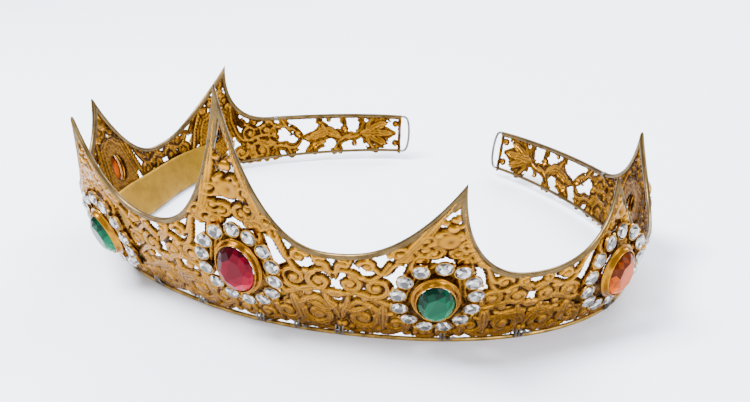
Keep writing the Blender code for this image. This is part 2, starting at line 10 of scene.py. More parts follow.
import bmesh
import bpy
import numpy as np
from bpy.props import FloatProperty, FloatVectorProperty, IntProperty, PointerProperty
from mathutils import Matrix, Vector


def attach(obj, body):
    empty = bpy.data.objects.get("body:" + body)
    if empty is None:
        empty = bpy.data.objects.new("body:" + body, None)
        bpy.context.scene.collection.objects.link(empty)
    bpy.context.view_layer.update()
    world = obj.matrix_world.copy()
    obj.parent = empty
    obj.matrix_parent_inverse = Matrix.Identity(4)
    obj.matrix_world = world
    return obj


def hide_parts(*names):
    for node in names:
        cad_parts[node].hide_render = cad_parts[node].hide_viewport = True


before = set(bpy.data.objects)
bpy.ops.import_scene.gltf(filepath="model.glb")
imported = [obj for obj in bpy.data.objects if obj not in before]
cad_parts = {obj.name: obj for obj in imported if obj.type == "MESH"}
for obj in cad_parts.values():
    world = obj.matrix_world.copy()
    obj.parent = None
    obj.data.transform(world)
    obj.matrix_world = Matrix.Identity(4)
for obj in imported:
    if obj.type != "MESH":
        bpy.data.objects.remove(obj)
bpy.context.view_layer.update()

bl_info = {
    "name": "Gilt tiara",
    "version": (1, 0, 0),
    "blender": (4, 5, 0),
    "location": "3D View > Sidebar > Tiara",
    "description": "Builds a stamped gilt tiara with seven stone-set peaks",
    "category": "Add Mesh",
}

MM = 0.001
BODY = "root"

# The plan of the band: its distance from the middle of the head, either way round from the front
PLAN_ANGLES = (0, 40, 80, 115, 165)
PLAN_RADII = (53.3, 60.3, 78.0, 76.2, 71.8)
DENT_ANGLE = -87.7
DENT_DEPTH = 10.9
DENT_SPREAD = 21.8
PLAN_MIDDLE = (3.34, 2.17)
END_STATION = 198.2

# The lean of the band, in degrees outwards
LEAN_STATIONS = (0, 43.6, 85.1, 130.9, 198.2)
LEAN_LOW = (27.7, 29.5, 24.0, 12.9, 12.1)
TURN_START = 12.0
TURN_END = 22.0
VALLEY_LEAN_SHARE = 0.7

# The gallery's edges
RIM_WIDTH = 1.3
RIM_STRIP = (0.68, 0.62)    # how far the rim strip stands out in front of the sheet and behind it
FOOT_STRIP = (0.6, 0.5)     # and the strip along the foot of each rear end
RIM_POWER = 2.6         # how fast the rim sweeps up to a tip
POINT_SHARE = 0.15      # how much of the sweep is left to the sharper point
POINT_POWER = 10.0
FRONT_FOOT = 1.75
SHEET_FOOT = 1.0        # how far down the lobes of the lower edge reach
REAR_FOOT = 3.1
REAR_START = 100.0      # the station where the foot starts to rise
REAR_TOP = 17.3
END_TOP = 16.4
PANEL_REACH = 22.0      # how far a rear peak sweeps towards the end
FIELD_SPLIT = 0.42      # the line between the lower and the upper field, as a share of the height
TIP_GAP = 0.22          # length of the gap under a tip's spike, against the height from halo to tip
SPIKE = 8.5             # how much of a tip is solid above that gap on the tallest peak

# The lining, the wires and the ties
FRONT_REACH = 128.0     # how far round the lining and the foot wire run
LINING_FOOT = 0.8
LINING_TOP = 11.5
LINING_MIDDLE = -1.3
LINING_HALF = 0.27
LINING_WAVE = 0.08      # how uneven it is, and the length of one wave over two pi
LINING_WAVE_LENGTH = 5.3
WIRE_HEIGHT = 0.555
WIRE_RADIUS = 0.55
LOOP_LENGTH = 3.6
LOOP_RADIUS = 0.42
LOOP_INSET = 0.45       # how far inside the band's foot and top a loop starts
TIE_PITCH = 0.9         # length along the band of one turn of a tie
TIE_MIDDLE = 2.0        # height of a tie's middle, and how far it reaches up and out from there
TIE_UP = 1.75
TIE_OUT = 1.15
TOP_TIE_DROP = 0.75     # how far below the top edge the middle of a tie on it is
TOP_TIE_UP = 0.62
TOP_TIE_OUT = 0.95
TOP_TIE_WIDTH = 1.6
TOP_TIE_TURNS = 2.5

# One row a peak: station, tip height, upper lean in degrees, sideways shift of the tip, the stone's
# size and middle, and the number of small stones round it
Peak = namedtuple("Peak", "name station tip lean shift wide high centre small stone")
PEAKS = (
    Peak("right_rear", -130.9, 37.0, 10.9, -7.0, 6.4, 9.0, 14.5, 11, "pale_blue"),
    Peak("right_side", -85.1, 39.8, 11.6, 2.3, 8.4, 12.0, 17.2, 13, "amber"),
    Peak("right_front", -43.6, 49.8, 12.1, -0.3, 8.6, 12.4, 17.4, 13, "green"),
    Peak("centre", 0.0, 66.3, 8.9, 0.2, 10.0, 13.0, 20.6, 14, "ruby"),
    Peak("left_front", 43.6, 49.8, 21.2, 4.6, 8.6, 12.4, 17.7, 13, "green"),
    Peak("left_side", 85.1, 39.8, -6.6, 1.6, 8.4, 12.0, 17.2, 13, "amber"),
    Peak("left_rear", 130.9, 37.0, -0.3, -0.9, 6.4, 9.0, 14.5, 11, "pale_blue"),
)
VALLEYS = (17.5, 22.8, 29.0, 28.3, 22.8, 17.5)

# Stones and settings
SETTING_BACK = 1.0
COLLET_WALL = 1.5
GIRDLE = 1.8            # height of a stone's widest ring above the collet's back
CLEAR = 0.3
HALO_STONE = 3.9
WINDOW_SHARE = 0.34     # the gap behind a stone against the stone

# Gaps in a rear end: back is mm from its end, and up 0 to 1 from its lower edge to its upper one
EndGap = namedtuple("EndGap", "back up length width turn bow fat")
END_GAPS = (
    EndGap(5.0, 0.76, 3.6, 2.4, 0, 0.0, 0.4),
    EndGap(5.0, 0.20, 3.6, 2.4, 0, 0.0, 0.4),
    EndGap(11.6, 0.18, 4.4, 2.0, 0, 0.0, 0.6),
    EndGap(11.6, 0.82, 3.4, 1.6, 0, 0.0, 0.6),
    EndGap(16.4, 0.72, 4.0, 3.4, -10, 0.0, 0.5),
    EndGap(18.4, 0.20, 3.8, 2.8, 10, 0.0, 0.5),
    EndGap(23.6, 0.74, 5.4, 3.2, 4, 0.0, 0.4),
    EndGap(26.2, 0.22, 6.0, 3.6, 8, 0.4, 0.6),
    EndGap(32.4, 0.74, 5.8, 3.2, -8, -0.4, 0.4),
    EndGap(36.0, 0.24, 5.6, 3.6, -8, 0.0, 0.5),
    EndGap(41.0, 0.68, 5.2, 3.8, 20, 0.0, 0.5),
)

# Raised strokes of a half peak, which run from one place to another as the field does: across 0 is
# the middle and 1 the valley, and up runs from the foot (-1) past the halo's middle (0) to the rim (1);
# bow and swing bend them once or twice; curl is the radius in mm of the volute that ends them
Stroke = namedtuple(
    "Stroke", "across up to_across to_up bow swing width ridges rise lobes curl least_tip",
    defaults=(0, 0, 0),
)
PEAK_STROKES = (
    Stroke(1.00, 0.64, 0.46, 0.70, -0.10, 0.14, 1.5, 2, 0.80),
    Stroke(1.00, 0.14, 0.24, 0.10, 0.02, 0.16, 2.2, 2, 0.95, 0, 1.3),
    Stroke(0.05, 0.92, 0.40, 0.40, 0.10, 0.06, 1.6, 2, 0.85, 0, 0, 45),
    Stroke(0.05, 0.92, 0.36, 0.30, 0, 0, 1.6, 2, 0.85),
    Stroke(0.36, 0.20, 0.66, 0.90, 0.08, 0.12, 1.3, 1, 0.70),
    Stroke(0.52, -0.04, 0.56, -0.86, 0, 0.05, 3.4, 3, 1.00, 4),
    Stroke(1.00, -0.06, 0.62, -0.04, -0.10, 0, 2.8, 3, 0.95, 4),
    Stroke(1.00, -0.90, 0.50, -0.94, 0.08, 0, 1.6, 2, 0.85),
    Stroke(0.28, -0.12, 0.30, -0.90, 0, 0, 2.2, 3, 0.85, 3),
    Stroke(1.00, -0.60, 0.86, 0.30, 0, 0.10, 3.2, 3, 0.95, 4),
    Stroke(0.98, 0.52, 0.80, 0.96, 0, 0.08, 1.9, 2, 0.85, 2),
    Stroke(0.92, -0.24, 0.44, -0.34, 0.16, 0.10, 2.0, 3, 0.95),
    Stroke(0.84, -0.84, 0.36, -0.72, -0.12, 0.10, 1.7, 2, 0.90),
)
# Spiral scrolls round a boss, from an angle in degrees: turns above 0 wind as a clock doesn't
Scroll = namedtuple("Scroll", "across up radius start turns width ridges rise least_tip", defaults=(0,))
PEAK_SCROLLS = (
    Scroll(0.76, -0.50, 4.4, 190, 1.20, 2.5, 3, 1.00),
    Scroll(0.40, -0.56, 2.9, 20, -1.15, 1.9, 2, 0.95),
    Scroll(0.13, -0.56, 2.5, 170, 1.10, 1.7, 2, 0.90),
    Scroll(0.58, 0.32, 3.3, 250, -1.25, 1.9, 2, 0.95),
    Scroll(0.84, 0.42, 2.9, 110, 1.20, 1.8, 2, 0.95),
    Scroll(0.38, 0.60, 2.4, 200, -1.10, 1.6, 2, 0.90, 45),
    Scroll(0.66, 0.76, 2.0, 10, 1.05, 1.3, 1, 0.80),
    Scroll(0.18, 0.54, 2.0, 280, -1.05, 1.4, 1, 0.85, 45),
    Scroll(0.88, 0.82, 1.5, 60, 1.00, 1.1, 1, 0.75),
    Scroll(0.28, 0.16, 1.9, 140, -1.00, 1.3, 1, 0.80, 60),
    Scroll(0.10, 0.10, 2.1, 80, 1.10, 1.4, 2, 0.90),
    Scroll(0.19, 0.28, 2.0, 220, 1.05, 1.3, 2, 0.85, 45),
    Scroll(0.07, 0.40, 1.6, 120, -1.00, 1.2, 1, 0.80, 45),
)
Boss = namedtuple("Boss", "across up radius rise dish least_tip", defaults=(0, 0))
PEAK_BOSSES = (
    Boss(0, 0.24, 2.9, 1.25, 0.5, 38),
    Boss(0, 0.24, 2.2, 1.2, 0.45),
    Boss(0, 0.42, 1.5, 1.2),
    Boss(0, 0.54, 1.2, 1.0),
    Boss(0.10, 0.48, 1.1, 1.0, 0, 38),
    Boss(0.12, 0.34, 1.1, 0.9, 0, 38),
    Boss(0.07, 0.64, 0.9, 0.8, 0, 38),
    Boss(0.97, 0.22, 1.5, 1.15, 0.4),
    Boss(0.72, 0.56, 1.0, 0.9),
    Boss(0.46, 0.84, 0.9, 0.8, 0, 45),
    Boss(0.70, 0.12, 1.2, 1.0, 0.35),
    Boss(0.98, -0.74, 1.2, 1.0),
    Boss(0.58, -0.30, 1.1, 0.9, 0.3),
    Boss(0.60, -0.80, 1.0, 0.9),
    Boss(0.27, -0.84, 0.9, 0.8),
    Boss(0.16, -0.10, 0.8, 0.7),
)
# How wide a strip of plain ground stays beside each stroke, in mm, by the share of the band's height
GROUND_WIDTH = ((0.0, 0.38, 0.50, 1.0), (1.15, 0.95, 0.42, 0.30))
REAR_GROUND = 0.85      # and in the rear ends, from the next station on
REAR_GROUND_START = 150.0
END_BAR = 1.1           # width of the upright bar at each end
# How far strokes and scrolls stray from their row, so that no two peaks are quite the same
STRAY = 0.045
STRAY_TURN = 35.0
FOOT_BEADS = (3.1, 0.95, 0.75, 2.0)    # spacing, radius, rise and height above the foot of the lowest row
END_STROKES = (
    Stroke(7.0, 0.50, 15.0, 0.50, 0, 0, 5.6, 5, 0.85, 4),
    Stroke(14.0, 0.50, 22.0, 0.40, 0.10, 0, 1.3, 1, 0.60),
    Stroke(21.5, 0.34, 36.0, 0.40, -0.16, -0.06, 4.2, 4, 0.90, 5),
    Stroke(36.0, 0.40, 47.0, 0.20, 0.10, 0.10, 1.5, 2, 0.70),
    Stroke(36.0, 0.44, 46.0, 0.78, -0.16, 0, 1.5, 2, 0.70, 0, 1.2),
    Stroke(14.0, 0.95, 15.4, 0.60, 0, 0, 0.9, 1, 0.50),
    Stroke(21.0, 0.95, 20.4, 0.60, 0, 0, 0.9, 1, 0.50),
    Stroke(29.4, 0.95, 29.6, 0.60, 0, 0, 1.0, 1, 0.50),
    Stroke(31.0, 0.40, 31.6, 0.05, 0, 0, 0.9, 1, 0.50),
    Stroke(11.5, 0.52, 4.4, 0.80, 0.06, 0, 3.8, 3, 0.85, 2),
    Stroke(11.5, 0.48, 4.4, 0.20, -0.06, 0, 3.8, 3, 0.85, 2),
    Stroke(10.5, 0.50, 2.6, 0.50, 0, 0, 3.4, 3, 0.80, 2),
    Stroke(12.5, 0.56, 9.0, 0.96, 0.10, 0, 2.2, 2, 0.75, 2),
    Stroke(12.5, 0.44, 9.0, 0.04, -0.10, 0, 2.2, 2, 0.75, 2),
    Stroke(22.0, 0.42, 29.0, 0.84, 0.16, 0, 3.0, 3, 0.85, 4),
    Stroke(27.0, 0.30, 34.0, 0.06, -0.10, 0, 2.2, 2, 0.80, 3),
    Stroke(18.0, 0.46, 24.0, 0.10, -0.14, 0, 1.5, 2, 0.70, 0, 0.9),
    Stroke(40.0, 0.60, 43.0, 0.96, 0, 0, 1.6, 2, 0.70),
    Stroke(42.0, 0.30, 40.0, 0.02, 0, 0, 1.6, 2, 0.70),
)
END_BOSSES = (
    Boss(2.0, 0.76, 1.2, 1.1),
    Boss(2.0, 0.24, 1.2, 1.1),
    Boss(16.9, 0.78, 1.1, 1.1),
    Boss(16.9, 0.22, 1.1, 1.1),
    Boss(20.4, 0.62, 1.5, 1.3),
    Boss(31.6, 0.22, 1.5, 1.3),
    Boss(37.4, 0.54, 1.5, 1.1),
    Boss(26.0, 0.88, 0.9, 0.7),
)

# Where steel wire ties the gallery to the base wire, as stations along it, and on the rear's top edge
TIES = (-47.0, -36.0, -19.0, 0.0, 10.0, 21.0, 46.0, 64.0, 92.0)
TOP_TIES = (-153.0, 149.0)

# The relief, in mm unless named otherwise
EMPTY = -9.0            # the height where there is no ornament
NEAR = 2.4              # how far from a stroke its echo lines reach
LIFT = 0.1              # the ornament's edge over the sheet
GROUND_LIFT = 0.08
LOBE_DEPTH = 0.22       # how deep the notches between a leaf's lobes are, against its width
RIDGE_SHARE = 0.45      # how much of a stroke's rise is in its ridges
ROLL = 0.28             # how far the edges of the gaps roll back
ROLL_WIDTH = 0.3
DISH_WIDTH = 0.45
SHADE_AND_WEAR_FLAT = 0.36        # tone of a flat place, from 0 in the recesses to 1 on the ridges: painted shade and tarnish low, painted highlight and wear high
SHADE_AND_WEAR_HOLLOW = 2.0       # how much that gains by standing out against what lies round it, which paints shade into the hollows
SHADE_AND_WEAR_HEIGHT = 0.2       # and by its own height
HIGHLIGHT_AND_WEAR_BRIGHTER = 1.45    # how much brighter the gilding is on the ridges: painted highlight as well as wear
HALO_SOLID = 6.0        # how far inside the ground the middle of a halo is
INNER_EDGE = 0.3        # the plain edge kept below the rim strip
UNDER_RIM = 0.45        # how much of the rim strip the sheet runs under
FOOT_LOBE = 3.1         # length of a lobe of the lower edge
STEPS = 25              # points along a stroke
LINE_STEPS = 40         # and along a scroll
SCROLL_TAPER = 0.7
SMOOTHINGS = 10
BLUR = 3                # cells over which the painted shade compares heights
LEAST_STEEP = 0.15
VOLUTE_EYE = 0.55       # the boss in a volute or a scroll, against its radius
SCROLL_EYE = 0.36
EYE_RISE = 1.1
VOLUTE_STEPS = 15
VOLUTE_TURN = 22        # in degrees a step
VOLUTE_SHRINK = 0.93


def plan_table():
    """Stations along the band with the plan's x and y there, in mm."""
    orders = range(len(PLAN_ANGLES))
    angles = np.radians(PLAN_ANGLES)
    waves = np.array([[math.cos(order * angle) for order in orders] for angle in angles])
    shares = np.linalg.solve(waves, np.array(PLAN_RADII))
    turn = np.radians(np.linspace(-178, 178, 1425))
    radius = sum(share * np.cos(order * turn) for order, share in zip(orders, shares))
    radius -= DENT_DEPTH * np.exp(-(((turn - math.radians(DENT_ANGLE)) / math.radians(DENT_SPREAD)) ** 2))
    x = radius * np.sin(turn)
    y = -radius * np.cos(turn)
    station = np.concatenate([[0], np.cumsum(np.hypot(np.diff(x), np.diff(y)))])
    station -= np.interp(0, turn, station)
    return station, x - PLAN_MIDDLE[0], y - PLAN_MIDDLE[1]


STATIONS, PLAN_X, PLAN_Y = plan_table()
PEAK_AT = np.array([peak.station for peak in PEAKS])
PEAK_TIP = np.array([peak.tip for peak in PEAKS])
PEAK_SHIFT = np.array([peak.shift for peak in PEAKS])
HALF = (PEAK_AT[1:] - PEAK_AT[:-1]) / 2
REACH = np.stack([np.append(PANEL_REACH, HALF), np.append(HALF, PANEL_REACH)], axis=1)
VALLEY = np.stack([np.append(REAR_TOP, VALLEYS), np.append(VALLEYS, REAR_TOP)], axis=1)


def plan(station):
    """The plan's points and outward normals at stations, in mm."""
    step = 2.0
    x, y = np.interp(station, STATIONS, PLAN_X), np.interp(station, STATIONS, PLAN_Y)
    along_x = np.interp(station + step, STATIONS, PLAN_X) - np.interp(station - step, STATIONS, PLAN_X)
    along_y = np.interp(station + step, STATIONS, PLAN_Y) - np.interp(station - step, STATIONS, PLAN_Y)
    size = np.hypot(along_x, along_y)
    return x, y, along_y / size, -along_x / size


def low_lean(station):
    return np.tan(np.radians(np.interp(np.abs(station), LEAN_STATIONS, LEAN_LOW)))


def lean_rows():
    """Stations of the peaks and valleys, with the tangent of the upper lean at each."""
    rows = [(peak.station, math.tan(math.radians(peak.lean))) for peak in PEAKS]
    for before, after in zip(PEAKS, PEAKS[1:]):
        middle = (before.station + after.station) / 2
        rows.append((middle, VALLEY_LEAN_SHARE * low_lean(middle)))
    return np.array(sorted(rows))


HIGH_LEANS = lean_rows()


def beside(u):
    """The nearest peak to each station, how far out of it the station is, and its valley's height."""
    u = np.asarray(u, float)
    spot = np.abs(u[..., None] - PEAK_AT).argmin(-1)
    side = (u > PEAK_AT[spot]).astype(int)
    away = np.abs(u - PEAK_AT[spot]) / REACH[spot, side]
    return spot, away, VALLEY[spot, side]


def rim_height(u):
    """The height of the scalloped top edge."""
    spot, away, valley = beside(u)
    rest = np.clip(1 - away, 0, 1)
    last = PEAKS[-1].station + PANEL_REACH
    taper = (REAR_TOP - END_TOP) * np.clip((np.abs(u) - last) / (END_STATION - last), 0, 1)
    sweep = (1 - POINT_SHARE) * rest**RIM_POWER + POINT_SHARE * rest**POINT_POWER
    return valley + (PEAK_TIP[spot] - valley) * sweep - taper


def rim_drop(u):
    """How far below the top edge the rim strip's lower edge is, so that its width stays even."""
    step = 0.2
    here = rim_height(u)
    slope = np.maximum(np.abs(rim_height(u - step) - here), np.abs(rim_height(u + step) - here)) / step
    return RIM_WIDTH * np.hypot(1, slope)


def foot_height(u):
    share = np.clip((np.abs(u) - REAR_START) / (END_STATION - REAR_START), 0, 1)
    return FRONT_FOOT + (REAR_FOOT - FRONT_FOOT) * share


def place(u, v, w):
    """Points of the flat band, bent round the head: millimetres in, metres out."""
    u, v, w = np.broadcast_arrays(*(np.asarray(each, float) for each in (u, v, w)))
    spot, away, _ = beside(u)
    middle = (TURN_START + TURN_END) / 2
    rise = np.clip((v - middle) / (PEAK_TIP[spot] - middle), 0, 1)
    x, y, out_x, out_y = plan(u + PEAK_SHIFT[spot] * rise * np.clip(1 - away, 0, 1))
    low = low_lean(u)
    high = np.interp(u, HIGH_LEANS[:, 0], HIGH_LEANS[:, 1])
    turn = TURN_END - TURN_START
    turned = np.clip(v - TURN_START, 0, turn)
    out = low * v + (high - low) * (turned**2 / (2 * turn) + np.clip(v - TURN_END, 0, None))
    lean = np.arctan(low + (high - low) * turned / turn)
    out = out + w * np.cos(lean)
    return np.stack([x + out_x * out, y + out_y * out, v - w * np.sin(lean)], axis=-1) * MM


def halo_line(peak):
    """Half width and half height of the line that the small stones' middles stand on."""
    out = COLLET_WALL + CLEAR + HALO_STONE / 2
    return peak.wide / 2 + out, peak.high / 2 + out


def on_peak(peak, side, across, up):
    """The flat place of a share across and up a peak, between its foot, its halo and its rim."""
    reach = REACH[PEAKS.index(peak), 1 if side > 0 else 0]
    u = peak.station + side * min(across, 0.999) * reach
    wide, high = (half + HALO_STONE / 2 for half in halo_line(peak))
    half = high * math.sqrt(max(0.0, 1 - (across * reach / wide) ** 2))
    foot, rim = float(foot_height(u)), float(rim_height(u))
    split = foot + FIELD_SPLIT * (rim - foot)
    if up > 0:
        low = max(split, peak.centre + half) if half else split
        return np.array([side * across * reach, low + (rim - low) * up])
    top = min(split, peak.centre - half) if half else split
    return np.array([side * across * reach, top + (top - foot) * up])


def panel_size(peak):
    """How large a peak's ornament is against that of the middle peak."""
    return 0.55 + 0.45 * peak.tip / PEAKS[len(PEAKS) // 2].tip


def leaf_outline(row, steps=9):
    """A pointed gap lying along X, widest where fat says, bowed up by bow."""
    t = np.linspace(0, 1, steps + 2)
    half = row.width / 2 * np.sin(math.pi * t ** (math.log(0.5) / math.log(row.fat)))
    x = (t - 0.5) * row.length
    y = row.bow * (1 - (2 * t - 1) ** 2)
    return np.concatenate([np.stack([x, y + half], 1), np.stack([x, y - half], 1)[-2:0:-1]])


def turned(points, angle, middle, mirror):
    """Turns points, mirrors them along the band where mirror is -1 and moves them to a middle."""
    cos, sin = math.cos(angle), math.sin(angle)
    x = points[:, 0] * cos - points[:, 1] * sin
    y = points[:, 0] * sin + points[:, 1] * cos
    return np.stack([middle[0] + mirror * x, middle[1] + y], 1)


def tip_gap(peak):
    """The narrow triangle between the two legs of the rim, under the spike."""
    halo_top = on_peak(peak, 1, 0.0, 0.001)[1]
    high = peak.tip - SPIKE * panel_size(peak)
    low = high - TIP_GAP * (peak.tip - halo_top)
    edges = []
    for side in (-1, 1):
        out = np.arange(0, 8, 0.05)
        inner = rim_height(peak.station + side * out) - rim_drop(peak.station + side * out)
        heights = np.linspace(low, high, 6)
        legs = [out[np.argmax(inner <= height)] for height in heights]
        edges.append([(peak.station + side * leg, height) for leg, height in zip(legs, heights)])
    return np.array(edges[0] + edges[1][::-1])


def gap_outlines():
    """Every gap that is cut through the gallery."""
    gaps = []
    around = np.linspace(0, 2 * math.pi, 24, endpoint=False)
    for peak in PEAKS:
        oval = np.stack([peak.wide * np.cos(around), peak.high * np.sin(around)], 1) * WINDOW_SHARE
        gaps += [oval + (peak.station, peak.centre), tip_gap(peak)]
    for side in (-1, 1):
        for row in END_GAPS:
            middle = end_place(row.back, row.up) * (side, 1)
            gaps.append(turned(leaf_outline(row), -math.radians(row.turn), middle, side))
    return gaps


Raised = namedtuple("Raised", "line half ridges lobes rise")
Dome = namedtuple("Dome", "middle radius rise dish")


def stray(peak, side, row):
    """A number from -1 to 1 that differs from peak to peak, side to side and row to row."""
    return math.sin(12.9 * row.across + 7.7 * row.up + 3.1 * PEAKS.index(peak) + 1.7 * side)


def flowing(peak, side, row):
    """A stroke's middle line on a peak, smoothed where the field that it follows bends."""
    t = np.linspace(0, 1, STEPS)
    off = STRAY * stray(peak, side, row)
    across = row.across + (row.to_across - row.across) * t
    up = row.up + (row.to_up - row.up) * t
    up = up + (row.bow + 2 * off) * np.sin(math.pi * t) + (row.swing + off) * np.sin(2 * math.pi * t)
    line = np.array([on_peak(peak, side, *spot) for spot in zip(across, up)])
    for _ in range(SMOOTHINGS):
        line[1:-1] = (line[:-2] + 2 * line[1:-1] + line[2:]) / 4
    return line + (peak.station, 0)


def bowed(side, row):
    """A stroke's middle line on a rear end, in which bow and swing are shares of its length."""
    t = np.linspace(0, 1, STEPS)[:, None]
    start, end = (end_place(back, up) for back, up in ((row.across, row.up), (row.to_across, row.to_up)))
    run = end - start
    off = row.bow * np.sin(math.pi * t) + row.swing * np.sin(2 * math.pi * t)
    return (start + t * run + off * np.array([-run[1], run[0]])) * (side, 1)


def middle_on(peak, side, row):
    """The middle of a scroll or a boss on a peak."""
    return on_peak(peak, side, row.across, row.up) + (peak.station, 0)


def scrolled(peak, side, row):
    """A spiral scroll on a peak, narrower towards its middle."""
    size = panel_size(peak)
    t = np.linspace(0, 1, LINE_STEPS)
    off = stray(peak, side, row)
    angle = math.radians(row.start + STRAY_TURN * off) + 2 * math.pi * row.turns * t
    radius = row.radius * size * (1 + 2 * STRAY * off) * (1 - SCROLL_TAPER * t**0.85)
    line = np.stack([side * radius * np.cos(angle), radius * np.sin(angle)], 1)
    line += middle_on(peak, side, row)
    return Raised(line, row.width * size / 2 * (1 - 0.45 * t), row.ridges, 0, row.rise)


def end_place(back, up):
    return np.array([END_STATION - back, REAR_FOOT + (END_TOP - REAR_FOOT) * up])


def raised(line, row, size, side):
    """A stroke with its half widths, and the volute that ends it."""
    t = np.linspace(0, 1, STEPS)
    half = row.width * size / 2 * (0.55 + 0.45 * np.sin(math.pi * t))
    if row.lobes:
        half = row.width * size / 2 * np.sin(math.pi * t**0.75).clip(0) ** 0.7
    if row.curl:
        heading = math.atan2(*(line[-1] - line[-2])[::-1])
        turn = math.radians(VOLUTE_TURN) * side
        radius = row.curl * size
        tail = [line[-1]]
        for _ in range(VOLUTE_STEPS):
            heading += turn
            tail.append(tail[-1] + radius * abs(turn) * np.array([math.cos(heading), math.sin(heading)]))
            radius *= VOLUTE_SHRINK
        line = np.concatenate([line, tail[1:]])
        middle = STEPS // 2
        half = np.concatenate([half[:middle], np.full(len(line) - middle, max(half[middle] * 0.75, 0.5))])
    return Raised(line, half, row.ridges, row.lobes, row.rise)


def ornament():
    """Every raised stroke and dome of the gallery."""
    strokes, domes = [], []
    for peak in PEAKS:
        size = panel_size(peak)
        for side in (-1, 1):
            for row in PEAK_STROKES:
                if peak.tip > row.least_tip:
                    strokes.append(raised(flowing(peak, side, row), row, size, side))
                    if row.curl:
                        domes.append(Dome(strokes[-1].line[-1], VOLUTE_EYE * row.curl * size, EYE_RISE, 0))
            for row in PEAK_SCROLLS:
                if peak.tip > row.least_tip:
                    strokes.append(scrolled(peak, side, row))
                    eye = SCROLL_EYE * row.radius * size
                    domes.append(Dome(middle_on(peak, side, row), eye, EYE_RISE, 0.3))
            for row in PEAK_BOSSES:
                if peak.tip > row.least_tip:
                    radius = row.radius * size
                    domes.append(Dome(middle_on(peak, side, row), radius, row.rise, row.dish))
    spacing, radius, rise, above = FOOT_BEADS
    for u in np.arange(-FRONT_REACH, FRONT_REACH, spacing):
        domes.append(Dome(np.array([u, foot_height(u) + above]), radius, rise, 0))
    for side in (-1, 1):
        for row in END_STROKES:
            strokes.append(raised(bowed(side, row), row, 1.0, side))
            if row.curl:
                domes.append(Dome(strokes[-1].line[-1], VOLUTE_EYE * row.curl, 1.0, 0))
        for row in END_BOSSES:
            domes.append(Dome(end_place(row.across, row.up) * (side, 1), row.radius, row.rise, row.dish))
    return strokes, domes


GAPS = gap_outlines()
STROKES, DOMES = ornament()


def near_line(u, v, line):
    """The signed distance of points to a line, and how far along it their nearest point is."""
    start, run = line[:-1], np.diff(line, axis=0)
    rel_u, rel_v = u[:, None] - start[:, 0], v[:, None] - start[:, 1]
    along = np.clip((rel_u * run[:, 0] + rel_v * run[:, 1]) / (run**2).sum(1).clip(1e-9), 0, 1)
    gap2 = (rel_u - along * run[:, 0]) ** 2 + (rel_v - along * run[:, 1]) ** 2
    pick = gap2.argmin(1)
    rows = np.arange(len(u))
    side = np.sign(run[pick, 0] * rel_v[rows, pick] - run[pick, 1] * rel_u[rows, pick])
    return np.sqrt(gap2[rows, pick]) * side, (pick + along[rows, pick]) / (len(line) - 1)


def outside(u, v, outline):
    """The distance of points from a closed outline, negative inside it."""
    ring = np.concatenate([outline, outline[:1]])
    gap = np.abs(near_line(u, v, ring)[0])
    start, end = ring[:-1], ring[1:]
    crosses = (start[:, 1] > v[:, None]) != (end[:, 1] > v[:, None])
    rise = np.where(end[:, 1] == start[:, 1], 1e-9, end[:, 1] - start[:, 1])
    at = start[:, 0] + (v[:, None] - start[:, 1]) * (end[:, 0] - start[:, 0]) / rise
    inside = (crosses & (u[:, None] < at)).sum(1) % 2 == 1
    return np.where(inside, -gap, gap)


def window(uu, vv, points, margin):
    """The part of a grid that lies near some points."""
    low, high = points.min(0) - margin, points.max(0) + margin
    columns = np.searchsorted(uu[0], (low[0], high[0]))
    rows = np.searchsorted(vv[:, 0], (low[1], high[1]))
    return slice(*rows), slice(*columns)


def ground(uu, vv, away):
    """The chased ground between the ornament: fine lines that echo the strokes, and small grains."""
    first = np.sin(5.1 * uu + 1.4 * np.sin(3.3 * vv)) * np.sin(4.6 * vv + 1.2 * np.sin(3.9 * uu))
    second = np.sin(8.3 * uu - 2.1 * vv) * np.sin(7.7 * vv + 1.9 * uu)
    echo = 0.5 - 0.5 * np.cos(2 * math.pi * away / 1.2)
    return 0.14 * first + 0.07 * second + 0.46 * echo * np.exp(-away / 3)


def soften(field, reach):
    """A field blurred over a reach in cells."""
    steps = np.arange(-2 * reach, 2 * reach + 1)
    weights = np.exp(-((steps / reach) ** 2))
    weights /= weights.sum()
    for axis in (0, 1):
        wide = [(0, 0), (0, 0)]
        wide[axis] = (2 * reach, 2 * reach)
        padded = np.pad(field, wide, mode="edge")
        cells = np.arange(field.shape[axis])
        field = sum(weight * padded.take(at + cells, axis=axis) for at, weight in enumerate(weights))
    return field


def lay_strokes(uu, vv, depth, solid, height):
    """Adds the strokes to a grid's metal and height, and gives each point's distance from them."""
    away = np.full(uu.shape, NEAR)
    for stroke in STROKES:
        part = window(uu, vv, stroke.line, stroke.half.max() + NEAR)
        if not uu[part].size:
            continue
        offset, share = near_line(uu[part].ravel(), vv[part].ravel(), stroke.line)
        half = np.interp(share, np.linspace(0, 1, len(stroke.half)), stroke.half)
        if stroke.lobes:
            half = half * (1 - LOBE_DEPTH + LOBE_DEPTH * np.abs(np.sin(math.pi * stroke.lobes * share)))
        half = np.maximum(half, 0.05)
        side = np.clip(offset / half, -1, 1)
        ridge = 0.5 - 0.5 * np.cos(math.pi * stroke.ridges * (side + 1))
        ridged = 1 - RIDGE_SHARE + RIDGE_SHARE * ridge if stroke.ridges > 1 else 1
        rise = stroke.rise * np.sqrt(1 - side**2) * ridged
        inside = (half - np.abs(offset)).reshape(uu[part].shape)
        away[part] = np.minimum(away[part], np.maximum(-inside, 0))
        solid[part] = np.maximum(solid[part], inside)
        rise = np.where(inside > 0, LIFT + depth * rise.reshape(inside.shape), EMPTY)
        height[part] = np.maximum(height[part], rise)
    return away


